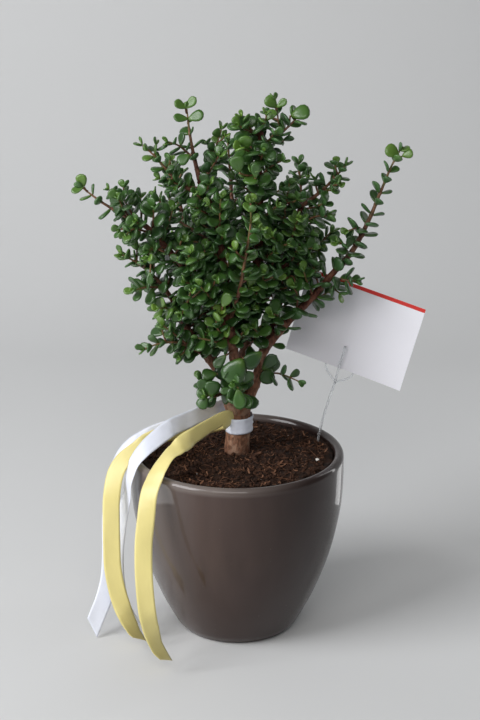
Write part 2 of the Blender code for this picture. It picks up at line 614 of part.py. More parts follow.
def make_shoot(shoot, route, growth, chance):
    points, centres, ways, pairs = twig_mesh(shoot, route)
    leafy = {}
    for pair, ring in enumerate(pairs):
        across, up, ahead = ways[ring]
        youth = pair / max(1, len(pairs) - 1)
        for side, outward in ((0, across), (1, up), (2, -across), (3, -up)):
            if side % 2 != pair % 2:
                continue
            length = shoot.leaf * (1 - 0.30 * youth**2) * chance.uniform(0.88, 1.08)
            angle = (1.15 - 0.35 * youth) + chance.uniform(-0.12, 0.12)
            root = (centres[ring] + centres[ring + 1]) / 2
            half_width = (points[4 * ring] - points[4 * ring + 1]).length / 2
            corners = growth.place(shoot.name, root, outward, ahead.cross(outward), ahead, half_width,
                                   length, angle)
            if corners:
                leafy[ring, side] = corners
    faces = twig_faces(len(centres), leafy)
    for (ring, side), corners in leafy.items():
        a, b = 4 * ring + side, 4 * ring + (side + 1) % 4
        own = range(len(points), len(points) + 6)
        points += corners
        faces += leaf_faces((a, b, b + 4, a + 4), own)
    return add_object("shoot_" + shoot.name, points, faces, "leaf")


def make_shoots(limb_plans, solids):
    routes = plan_shoots(limb_plans)
    growth = Growth(solids)
    for shoot in SHOOTS:
        points, centres, _, _ = twig_mesh(shoot, routes[shoot.name])
        growth.add_twig(shoot.name, points, twig_faces(len(centres)))
    chance = random.Random(SEED)
    for shoot in SHOOTS:
        make_shoot(shoot, routes[shoot.name], growth, chance)


# Ribbons


def make_band():
    """The white ribbon where it is wound round the trunk."""
    outer = BAND_RADIUS + BAND_THICKNESS
    profile = ((outer, 0), (outer + BAND_FLARE, RIBBON_WIDTH),
               (BAND_RADIUS + BAND_FLARE, RIBBON_WIDTH), (BAND_RADIUS, 0))
    points, faces = turned(profile, 24)
    points = [Vector(BAND_CENTRE) + point for point in points]
    return add_object("ribbon_white_band", points, faces, "white", smooth=True)


def spread_widths(route, knots, widths):
    """The way that the ribbon's width points at each point of its route, turned evenly between the knots."""
    nearest = [min(range(len(route)), key=lambda i: (route[i] - Vector(knot)).length) for knot in knots]
    spread = []
    for number, (first, last) in enumerate(zip(nearest, nearest[1:])):
        for i in range(first, last):
            share = (i - first) / (last - first)
            spread.append(Vector(widths[number]).lerp(Vector(widths[number + 1]), share))
    return spread + [Vector(widths[-1])]


def ribbon_faces(ring_count):
    """Each broad side's pieces are cut from the same corner, so that the two sides stay parallel."""
    last = 4 * (ring_count - 1)
    faces = [(3, 2, 1, 0), (last, last + 1, last + 2, last + 3)]
    for a in range(0, last, 4):
        b = a + 4
        faces += [(a, a + 1, b + 1), (a, b + 1, b), (a + 2, a + 3, b + 2), (a + 3, b + 3, b + 2)]
        faces += [(a + 1, a + 2, b + 2, b + 1), (a + 3, a, b, b + 3)]
    return faces


def make_ribbon(name, finish, knots, widths):
    route = smooth_route(knots, RIBBON_STEP)
    spread = spread_widths(route, knots, widths)
    points = []
    for i, centre in enumerate(route):
        ahead = (route[min(i + 1, len(route) - 1)] - route[max(i - 1, 0)]).normalized()
        wide = (spread[i] - ahead * spread[i].dot(ahead)).normalized() * RIBBON_WIDTH / 2
        thick = ahead.cross(wide).normalized() * RIBBON_THICKNESS / 2
        points += [centre - wide - thick, centre + wide - thick, centre + wide + thick, centre - wide + thick]
    return add_object(name, points, ribbon_faces(len(route)), finish, smooth=True)


# Card and pick


def card_corner(x, y, z):
    """A place on the card, in its own directions, in the plant's frame."""
    turn = Euler(CARD_ANGLES, "YXZ").to_matrix()
    return Vector(CARD_CENTRE) + turn @ Vector((x, y, z))


def box_mesh(places):
    faces = [(0, 3, 2, 1), (4, 5, 6, 7), (0, 1, 5, 4), (1, 2, 6, 5), (2, 3, 7, 6), (3, 0, 4, 7)]
    return places, faces


def card_box(left, right, front, back, low, high):
    around = ((left, front), (right, front), (right, back), (left, back))
    return box_mesh([card_corner(x, y, z) for z in (low, high) for x, y in around])


def make_card():
    width, thickness, height = (size / 2 for size in CARD_SIZE)
    return add_object("card", *card_box(-width, width, -thickness, thickness, -height, height), "card")


def make_pick():
    """A stem that parts into two arms behind the card and a tab in front of it."""
    low = -CARD_SIZE[2] / 2
    beside = CARD_SIZE[1] / 2 + 2 * GAP + PICK_RADIUS
    fork = card_corner(PICK_OFFSET, 0, low - 0.0125)
    stem = smooth_route(PICK_ROUTE + (fork,), 0.015)
    pick = add_object("card_pick", *tube(stem, [PICK_RADIUS] * len(stem), 8), "clear", smooth=True)
    inside = fork - Vector((0, 0, 0.001))
    prongs = {"arm_left": (-0.0135, beside, 0.014), "arm_right": (0.0135, beside, 0.014),
              "tab": (0, -beside, 0.022)}
    for name, (aside, depth, rise) in prongs.items():
        knots = (inside, card_corner(PICK_OFFSET + aside * 0.8, depth * 0.7, low - 0.006),
                 card_corner(PICK_OFFSET + aside, depth, low + 0.001),
                 card_corner(PICK_OFFSET + aside, depth, low + rise))
        route = smooth_route(knots, 0.008)
        helper = add_helper(name, *tube(route, [PICK_RADIUS * 0.9] * len(route), 8))
        add_boolean(pick, helper, "UNION")
    return pick


def main():
    clear_scene()
    plans = plan_limbs()
    solids = [make_pot(), make_soil(), make_trunk()]
    solids += make_limbs(plans)
    solids.append(make_band())
    for name, (finish, knots, widths) in RIBBONS.items():
        solids.append(make_ribbon(name, finish, knots, widths))
    solids.append(make_card())
    solids.append(make_pick())
    make_shoots(plans, solids)


main()
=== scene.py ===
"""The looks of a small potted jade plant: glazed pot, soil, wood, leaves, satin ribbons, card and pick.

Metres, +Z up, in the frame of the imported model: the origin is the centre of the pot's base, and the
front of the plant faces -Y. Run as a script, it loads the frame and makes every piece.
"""

import json
import random
from dataclasses import dataclass
from math import cos, pi, radians, sin, tau

import bpy
from bpy.props import FloatProperty, FloatVectorProperty, IntProperty, PointerProperty
from mathutils import Euler, Matrix, Quaternion, Vector, noise

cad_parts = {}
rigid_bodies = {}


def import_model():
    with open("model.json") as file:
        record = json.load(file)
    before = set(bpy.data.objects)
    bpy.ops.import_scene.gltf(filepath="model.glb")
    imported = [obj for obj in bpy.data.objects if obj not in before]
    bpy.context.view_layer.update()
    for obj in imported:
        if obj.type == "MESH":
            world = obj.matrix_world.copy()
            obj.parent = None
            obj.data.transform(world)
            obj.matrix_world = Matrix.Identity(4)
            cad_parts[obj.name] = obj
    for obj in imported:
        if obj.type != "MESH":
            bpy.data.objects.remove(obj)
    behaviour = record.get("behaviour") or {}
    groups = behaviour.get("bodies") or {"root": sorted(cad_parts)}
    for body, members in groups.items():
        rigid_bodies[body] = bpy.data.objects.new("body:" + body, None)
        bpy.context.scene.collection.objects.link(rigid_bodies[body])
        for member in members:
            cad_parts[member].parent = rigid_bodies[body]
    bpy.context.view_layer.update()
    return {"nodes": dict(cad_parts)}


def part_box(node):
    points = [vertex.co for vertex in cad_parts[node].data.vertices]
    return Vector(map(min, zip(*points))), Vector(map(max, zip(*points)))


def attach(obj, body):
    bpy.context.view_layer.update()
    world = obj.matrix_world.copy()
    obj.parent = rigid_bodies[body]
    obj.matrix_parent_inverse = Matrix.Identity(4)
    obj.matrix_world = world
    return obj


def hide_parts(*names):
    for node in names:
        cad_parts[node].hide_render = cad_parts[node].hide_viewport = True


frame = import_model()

bl_info = {
    "name": "Potted Jade Plant",
    "version": (1, 0, 0),
    "blender": (4, 5, 0),
    "location": "3D View > Sidebar > Jade Plant",
    "description": "Makes a potted jade plant with ribbons and a card around its packed frame",
    "category": "Add Mesh",
}

_, POT_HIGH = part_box("pot")
SOIL_LOW, SOIL_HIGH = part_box("soil")
BAND_LOW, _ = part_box("ribbon_white_band")
SEED = 7
UP = Vector((0, 0, 1))
GOLDEN_ANGLE = pi * (3 - 5**0.5)
WINDOW_WAY = Vector((-0.4, -0.5, 0.75))  # from the plant to its light
LEAF_GROWTH = 1.12  # over the lengths in the tables below

# Pot and soil
POT_BASE_RADIUS = 0.0525
POT_BELLY_HEIGHT = 0.145  # the wall stands upright above this height
POT_FLOOR = 0.011
SOIL_EDGE_HEIGHT = 0.159
SOIL_DOME = 0.0035

# Trunk: its route and its radius at each point
TRUNK_ROUTE = ((0, 0, 0.1225), (0, 0, 0.164), (0.0008, 0, 0.178), (0.0016, 0, 0.190), (0.0016, 0, 0.199),
               (0.001, -0.001, 0.207), (0.0005, 0, 0.214))
TRUNK_RADII = (0.0112, 0.0112, 0.0107, 0.0098, 0.0103, 0.0128, 0.0095)
BAND_MIDDLE = (0.0015, 0)  # where the ribbon's band round the trunk is centred

# Card and pick
CARD_SIZE = (0.110, 0.0006, 0.078)
CARD_CENTRE = (0.1042, 0.040, 0.262)
CARD_ANGLES = (-0.073, 0.253, -0.337)  # tip back, roll, turn to the left
PICK_ROUTE = ((0.072, 0.030, 0.128), (0.0722, 0.030, 0.156), (0.0782, 0.031, 0.186))
PICK_OFFSET = -0.003  # how far the pick is from the middle of the card, along its lower edge


@dataclass
class Limb:
    """A bare woody limb. The first points come from its parent, or from the fork of the trunk."""

    name: str
    parent: str
    at: float  # how far along the parent it starts, from 0 to 1
    points: tuple
    radii: tuple  # at its start and at its end
    leafy: float = 0.5  # how far along it the first spur grows; 1 for none
    twig: float = 0.0055  # distance between its spurs
    pairs: tuple = ()  # leaves straight on the limb: from how far along, the distance between pairs, length


@dataclass
class Shoot:
    """A twig with pairs of leaves, each pair turned a quarter from the last."""

    name: str
    parent: str
    at: float
    points: tuple
    leaf: float = 0.0125  # length of its largest leaf
    bare: float = 0.005  # length of the stretch without leaves
    thick: float = 0.0011  # the twig's radius at its start
    spacing: float = 0.0062  # distance between pairs
    youth: float = 0.35  # 0 for old dark leaves, 1 for new light ones
    spurs: int = 0  # side twigs


LIMBS = (
    Limb("right_long", "", 0, ((0.004, 0, 0.203), (0.0115, 0.002, 0.214), (0.0182, 0.005, 0.232),
         (0.0222, 0.008, 0.250), (0.039, 0.013, 0.272), (0.064, 0.018, 0.297), (0.085, 0.022, 0.321)),
         (0.0052, 0.0028), 0.72, 0.012, (0.42, 0.0095, 0.0135)),
    Limb("left_low", "", 0, ((-0.003, 0.001, 0.205), (-0.009, -0.001, 0.2275), (-0.017, -0.004, 0.240),
         (-0.027, -0.009, 0.255), (-0.038, -0.012, 0.271), (-0.048, -0.016, 0.292)), (0.0050, 0.0029),
         0.52, 0.0055, (0.60, 0.010, 0.0140)),
    Limb("front_stem", "", 0, ((0, -0.003, 0.203), (-0.001, -0.011, 0.232), (-0.003, -0.015, 0.261),
         (-0.008, -0.016, 0.292), (-0.010, -0.016, 0.323), (-0.014, -0.014, 0.353),
         (-0.021, -0.012, 0.382), (-0.031, -0.011, 0.407)),
         (0.0050, 0.0026), 0.26, 0.0048, (0.40, 0.010, 0.0140)),
    Limb("centre_stem", "", 0, ((0.001, 0.002, 0.203), (0.004, 0.010, 0.234), (0.010, 0.012, 0.270),
         (0.015, 0.012, 0.306), (0.018, 0.009, 0.342), (0.019, 0.005, 0.374), (0.018, 0.001, 0.406),
         (0.019, -0.002, 0.435), (0.019, -0.003, 0.446)),
         (0.0054, 0.0030), 0.22, 0.0048, (0.35, 0.010, 0.0140)),
    Limb("right_mid", "centre_stem", 0.26, ((0.019, 0.019, 0.288), (0.035, 0.026, 0.313),
         (0.044, 0.028, 0.337), (0.048, 0.027, 0.357), (0.055, 0.025, 0.377)),
         (0.0040, 0.0022), 0.25, 0.0055, (0.45, 0.010, 0.0140)),
    Limb("left_upper", "front_stem", 0.37, ((-0.019, -0.024, 0.303), (-0.036, -0.030, 0.330),
         (-0.055, -0.033, 0.351), (-0.072, -0.033, 0.371), (-0.091, -0.031, 0.381)),
         (0.0038, 0.0020), 0.20, 0.0055, (0.30, 0.010, 0.0145)),
    Limb("back_left", "left_low", 0.42, ((-0.026, 0.014, 0.278), (-0.036, 0.036, 0.318),
         (-0.046, 0.050, 0.356)), (0.0036, 0.0022), 0.22, 0.0055, (0.50, 0.011, 0.0140)),
    Limb("back_right", "right_long", 0.40, ((0.036, 0.034, 0.284), (0.048, 0.050, 0.322),
         (0.054, 0.060, 0.352)), (0.0036, 0.0022), 0.30, 0.0055, (0.50, 0.011, 0.0140)),
    Limb("back_mid", "centre_stem", 0.22, ((0.002, 0.034, 0.292), (-0.002, 0.050, 0.332),
         (-0.004, 0.056, 0.372)), (0.0036, 0.0022), 0.25, 0.0055, (0.50, 0.011, 0.0140)),
)

SHOOTS = (
    Shoot("right_long_tip", "right_long", 1, ((0.099, 0.024, 0.337), (0.112, 0.026, 0.362),
          (0.122, 0.028, 0.387), (0.132, 0.030, 0.412), (0.138, 0.031, 0.423)), 0.0125, 0.004, 0.0029,
          0.0098, 0.30),
    Shoot("right_long_out", "right_long_tip", 0.12, ((0.093, 0.014, 0.344), (0.087, 0.008, 0.349)), 0.013),
    Shoot("right_long_high", "right_long_tip", 0.36, ((0.103, 0.020, 0.359), (0.095, 0.014, 0.358)), 0.012),
    Shoot("right_long_low", "right_long", 0.50, ((0.035, 0, 0.286), (0.030, -0.010, 0.291)), 0.014),
    Shoot("right_long_mid", "right_long", 0.66, ((0.052, 0.008, 0.302), (0.048, 0.002, 0.311)), 0.0135),
    Shoot("right_long_up", "right_long", 0.80, ((0.060, 0.010, 0.314), (0.057, 0.006, 0.324)), 0.0135),
    Shoot("right_long_under", "right_long", 0.90, ((0.083, 0.018, 0.306), (0.088, 0.014, 0.303)), 0.0135),
    Shoot("right_sprig", "right_mid", 0.30, ((0.046, 0.018, 0.317), (0.050, 0.012, 0.312)), 0.012),
    Shoot("right_inner", "right_mid", 0.50, ((0.040, 0.020, 0.364), (0.042, 0.014, 0.385),
          (0.044, 0.012, 0.399)), 0.012, spurs=3),
    Shoot("front_tip", "front_stem", 1, ((-0.036, -0.009, 0.429), (-0.039, -0.008, 0.447),
          (-0.041, -0.007, 0.465)), 0.0115, 0.008, 0.0022, 0.0105, 0.5),
    Shoot("front_tip_left", "front_tip", 0.30, ((-0.047, -0.014, 0.436), (-0.056, -0.019, 0.440)), 0.0105),
    Shoot("crown_left", "centre_stem", 0.975, ((0.010, -0.007, 0.450), (0.004, -0.009, 0.459)), 0.0105,
          youth=0.75),
    Shoot("crown_right", "centre_stem", 1, ((0.023, -0.008, 0.455), (0.024, -0.012, 0.461)), 0.0105,
          youth=0.75),
    Shoot("crown_front", "centre_stem", 0.90, ((0.011, -0.014, 0.431), (0.004, -0.024, 0.436)), 0.014,
          youth=0.65),
    Shoot("top_right", "centre_stem", 0.86, ((0.027, 0.006, 0.428), (0.034, 0.010, 0.440),
          (0.034, 0.010, 0.455), (0.031, 0.009, 0.470)), 0.0110, 0.008, spurs=2),
    Shoot("top_far_right", "top_right", 0.50, ((0.043, 0.006, 0.449), (0.051, 0.003, 0.458)), 0.0130),
    Shoot("centre_right", "centre_stem", 0.83, ((0.027, -0.007, 0.417), (0.036, -0.012, 0.423)), 0.012),
    Shoot("centre_face", "centre_stem", 0.78, ((0.015, -0.012, 0.408), (0.014, -0.023, 0.416)), 0.0155,
          youth=0.3),
    Shoot("left_upper_tip", "left_upper", 1, ((-0.110, -0.029, 0.392), (-0.126, -0.028, 0.404)), 0.0115,
          0.004, 0.0016, 0.0095, 0.45),
    Shoot("left_upright", "left_upper", 0.93, ((-0.092, -0.034, 0.396), (-0.092, -0.036, 0.406)), 0.0115,
          spurs=2),
    Shoot("left_hang", "left_upper", 0.80, ((-0.083, -0.046, 0.374), (-0.089, -0.056, 0.372)), 0.0125),
    Shoot("left_upper_low", "left_upper", 0.62, ((-0.068, -0.045, 0.358), (-0.072, -0.056, 0.355)), 0.0125),
    Shoot("left_mid_tip", "front_stem", 0.60, ((-0.021, -0.008, 0.350), (-0.034, -0.002, 0.360),
          (-0.052, 0.005, 0.371), (-0.062, 0.009, 0.380), (-0.069, 0.013, 0.389)), 0.0115, 0.018, 0.0020,
          spurs=5),
    Shoot("upper_left_tip", "front_stem", 0.93, ((-0.036, -0.017, 0.399), (-0.047, -0.020, 0.406),
          (-0.057, -0.021, 0.417), (-0.067, -0.021, 0.429), (-0.077, -0.021, 0.438)), 0.0110, 0.008, 0.0018,
          0.0065, 0.5, spurs=5),
    Shoot("top_left", "front_stem", 0.97, ((-0.023, -0.003, 0.416), (-0.018, 0.002, 0.430),
          (-0.013, 0.005, 0.446)), 0.011, 0.008, youth=0.6, spurs=3),
    Shoot("face_left", "front_stem", 0.88, ((-0.029, -0.026, 0.394), (-0.033, -0.036, 0.401)), 0.013),
    Shoot("face_mid", "front_stem", 0.74, ((-0.014, -0.030, 0.380), (-0.013, -0.040, 0.398)), 0.013,
          spurs=2),
    Shoot("left_low_tip", "left_low", 1, ((-0.058, -0.018, 0.312), (-0.071, -0.021, 0.329),
          (-0.084, -0.023, 0.340), (-0.095, -0.025, 0.347)), 0.0125, 0.006, 0.0024, spurs=5),
    Shoot("left_low_down", "left_low_tip", 0.38, ((-0.075, -0.032, 0.321), (-0.084, -0.040, 0.321)), 0.014),
    Shoot("left_low_light", "left_low", 0.96, ((-0.058, -0.030, 0.302), (-0.065, -0.040, 0.305)), 0.0125,
          youth=0.8),
    Shoot("low_left", "left_low", 0.52, ((-0.036, -0.024, 0.264), (-0.051, -0.032, 0.273),
          (-0.066, -0.037, 0.273), (-0.077, -0.040, 0.270)), 0.0125, 0.010, 0.0016, youth=0.25, spurs=2),
    Shoot("low_left_up", "low_left", 0.40, ((-0.056, -0.040, 0.286), (-0.061, -0.044, 0.291)), 0.012),
    Shoot("base_left", "left_low", 0.12, ((-0.014, -0.014, 0.221), (-0.026, -0.028, 0.224)), 0.0125, 0.016),
    Shoot("base_left_up", "base_left", 0.6, ((-0.024, -0.019, 0.229), (-0.030, -0.020, 0.236)),
          0.0125, 0.006),
    Shoot("front_cross", "front_stem", 0.28, ((-0.0177, -0.030, 0.2726), (-0.0327, -0.034, 0.2774)), 0.0135,
          0.024, 0.0014),
    Shoot("base_right", "right_long", 0.20, ((0.032, 0.002, 0.234), (0.042, -0.002, 0.233),
          (0.053, -0.005, 0.229)), 0.0120, 0.008, 0.0011, 0.0085, 0.2),
    Shoot("base_front", "front_stem", 0.14, ((-0.004, -0.026, 0.238), (-0.003, -0.038, 0.240)), 0.0160,
          youth=0.05),
    Shoot("base_hang", "front_stem", 0.02, ((0.003, -0.024, 0.226), (0.002, -0.036, 0.226)), 0.0165, 0.016,
          0.0011, youth=0.05),
    Shoot("front_shoot", "front_stem", 0.40, ((0.002, -0.034, 0.319), (0.008, -0.043, 0.356),
          (0.011, -0.046, 0.377), (0.011, -0.047, 0.396)), 0.0130, 0.020, 0.0019, 0.0085, 0.55, spurs=3),
    Shoot("right_face", "centre_stem", 0.40, ((0.021, -0.008, 0.314), (0.022, -0.028, 0.332)), 0.013,
          0.008, spurs=2),
    Shoot("right_face_up", "right_mid", 0.22, ((0.033, 0.002, 0.344), (0.029, -0.014, 0.360)), 0.013,
          0.010, 0.0013, spurs=3),
    Shoot("right_mid_tip", "right_mid", 1, ((0.069, 0.023, 0.388), (0.081, 0.022, 0.400),
          (0.091, 0.022, 0.412)), 0.0120, 0.004, 0.0020, spurs=5),
    Shoot("right_mid_light", "right_mid", 0.62, ((0.049, 0.006, 0.363), (0.051, -0.010, 0.374)), 0.0125,
          youth=0.75),
    Shoot("right_mid_out", "right_mid", 0.84, ((0.066, 0.018, 0.369), (0.076, 0.013, 0.371)), 0.0135),
    Shoot("right_mid_low", "right_mid", 0.40, ((0.052, 0.018, 0.337), (0.064, 0.012, 0.343)), 0.013),
    Shoot("left_face", "left_upper", 0.34, ((-0.038, -0.044, 0.344), (-0.039, -0.056, 0.356)), 0.013,
          spurs=2),
    Shoot("left_face_low", "front_stem", 0.36, ((-0.021, -0.038, 0.312), (-0.030, -0.054, 0.328)), 0.0125,
          0.008, spurs=3),
    Shoot("left_face_mid", "left_low", 0.98, ((-0.040, -0.044, 0.314), (-0.038, -0.052, 0.323)), 0.0125,
          0.008, spurs=2),
    Shoot("trunk_right_leaf", "centre_stem", 0.20, ((0.017, -0.006, 0.271), (0.014, -0.014, 0.280)), 0.013),
    Shoot("stub_light", "front_stem", 0.30, ((-0.017, -0.034, 0.287), (-0.015, -0.036, 0.299)), 0.0125,
          0.004, 0.0011, youth=1.0),
    Shoot("back_left_tip", "back_left", 1, ((-0.052, 0.056, 0.382), (-0.058, 0.060, 0.408)), 0.013, 0.004,
          0.0020, spurs=4),
    Shoot("back_left_low", "back_left", 0.55, ((-0.054, 0.042, 0.330), (-0.070, 0.046, 0.346)), 0.013,
          spurs=3),
    Shoot("back_right_tip", "back_right", 1, ((0.056, 0.066, 0.382), (0.054, 0.068, 0.404)), 0.013, 0.004,
          0.0020, spurs=4),
    Shoot("back_right_low", "back_right", 0.60, ((0.068, 0.054, 0.332), (0.082, 0.056, 0.346)), 0.013,
          spurs=3),
    Shoot("back_mid_tip", "back_mid", 1, ((-0.006, 0.060, 0.398), (-0.008, 0.062, 0.424)), 0.013, 0.004,
          0.0020, spurs=4),
)

PRUNED_STUB = ((-0.006, -0.015, 0.264), (-0.011, -0.021, 0.270), (-0.015, -0.026, 0.2745))

# Leaves that stand out: limb, where its twig starts, foot, tip, the way that its face looks, and tint
LONE_LEAVES = (
    ("front_stem", (-0.003, -0.028, 0.239), (0.001, -0.040, 0.235), (0.003, -0.042, 0.217),
     (-0.1, -1, 0.1), 0.42),
    ("front_stem", (0, -0.014, 0.252), (0.005, -0.036, 0.260), (-0.008, -0.038, 0.239),
     (-0.1, -1, 0.3), 0.20),
    ("front_stem", (0, -0.014, 0.252), (0.021, -0.030, 0.264), (0.006, -0.034, 0.252), (0.1, -1, 0.1), 0.0),
    ("front_stem", (-0.003, -0.016, 0.262), (-0.009, -0.030, 0.261), (-0.019, -0.032, 0.251),
     (-0.2, -1, 0.3), 0.1),
    ("front_stem", (-0.003, -0.024, 0.238), (0.003, -0.030, 0.235), (0.013, -0.032, 0.247),
     (0.2, -1, 0.3), 0.25),
    ("front_stem", (-0.003, -0.030, 0.240), (-0.004, -0.034, 0.232), (-0.014, -0.036, 0.230),
     (-0.1, -1, 0.4), 0.3),
    ("front_stem", (-0.003, -0.030, 0.240), (0.005, -0.036, 0.232), (-0.003, -0.038, 0.237),
     (0, -1, 0.4), 0.35),
    ("left_low", (-0.012, -0.014, 0.221), (-0.026, -0.028, 0.224), (-0.032, -0.030, 0.213),
     (-0.3, -1, 0.3), 0.30),
    ("left_low", (-0.012, -0.014, 0.221), (-0.025, -0.028, 0.225), (-0.031, -0.030, 0.240),
     (-0.2, -1, 0.2), 0.20),
    ("left_low", (-0.012, -0.014, 0.221), (-0.022, -0.030, 0.223), (-0.020, -0.032, 0.239),
     (0.1, -1, 0.2), 0.15),
    ("left_low", (-0.019, -0.008, 0.243), (-0.017, -0.024, 0.242), (-0.030, -0.026, 0.242),
     (-0.2, -0.8, 0.6), 0.3),
    ("right_long", (0.019, 0.004, 0.235), (0.022, -0.004, 0.239), (0.034, -0.006, 0.253), (0, -1, 0.3), 0.0),
    ("right_long", (0.020, 0.004, 0.240), (0.027, 0, 0.241), (0.026, -0.002, 0.225), (0.2, -1, 0.2), 0.2),
    ("centre_stem", (0.014, -0.018, 0.412), (0.002, -0.030, 0.417), (-0.001, -0.032, 0.432),
     (0, -0.9, 0.4), 0.48),
    ("centre_stem", (0.014, -0.018, 0.412), (0.015, -0.030, 0.413), (0.015, -0.032, 0.426),
     (0.1, -0.9, 0.4), 0.42),
    ("front_stem", (-0.037, -0.012, 0.430), (-0.038, -0.030, 0.432), (-0.048, -0.032, 0.426),
     (-0.3, -0.9, 0.5), 0.4),
    ("front_stem", (-0.013, -0.030, 0.300), (-0.012, -0.045, 0.308), (-0.006, -0.047, 0.320),
     (-0.1, -0.9, 0.4), 0.6),
    ("left_upper", (-0.070, -0.040, 0.352), (-0.071, -0.050, 0.339), (-0.071, -0.052, 0.329),
     (-0.2, -1, 0.2), 0.3),
    ("front_stem", (-0.041, -0.007, 0.462), (-0.042, -0.008, 0.466), (-0.051, -0.010, 0.472),
     (0, -0.9, 0.6), 0.6),
    ("front_stem", (-0.041, -0.007, 0.462), (-0.042, -0.008, 0.466), (-0.033, -0.010, 0.475),
     (0, -0.9, 0.6), 0.6),
    ("front_stem", (-0.040, -0.007, 0.453), (-0.040, -0.008, 0.457), (-0.052, -0.010, 0.459),
     (0, -0.9, 0.6), 0.5),
    ("front_stem", (-0.040, -0.007, 0.453), (-0.040, -0.008, 0.457), (-0.027, -0.010, 0.462),
     (0, -0.9, 0.6), 0.5),
    ("right_long", (0.136, 0.030, 0.416), (0.138, 0.030, 0.419), (0.126, 0.028, 0.427),
     (-0.2, -0.9, 0.6), 0.7),
    ("right_long", (0.136, 0.030, 0.416), (0.140, 0.030, 0.419), (0.149, 0.028, 0.423),
     (0.1, -0.9, 0.6), 0.7),
    ("centre_stem", (0.032, 0.009, 0.460), (0.033, 0.008, 0.464), (0.024, 0.006, 0.473),
     (-0.1, -0.9, 0.5), 0.6),
    ("centre_stem", (0.032, 0.009, 0.460), (0.033, 0.008, 0.464), (0.041, 0.006, 0.471),
     (0.1, -0.9, 0.5), 0.6),
    ("centre_stem", (0.043, 0.006, 0.449), (0.044, 0.003, 0.458), (0.060, 0.001, 0.463),
     (0.1, -0.9, 0.7), 0.5),
    ("left_upper", (-0.122, -0.028, 0.401), (-0.125, -0.028, 0.405), (-0.128, -0.030, 0.416),
     (-0.2, -0.9, 0.3), 0.7),
    ("left_upper", (-0.122, -0.028, 0.401), (-0.125, -0.028, 0.405), (-0.135, -0.030, 0.401),
     (-0.2, -0.8, 0.7), 0.6),
)

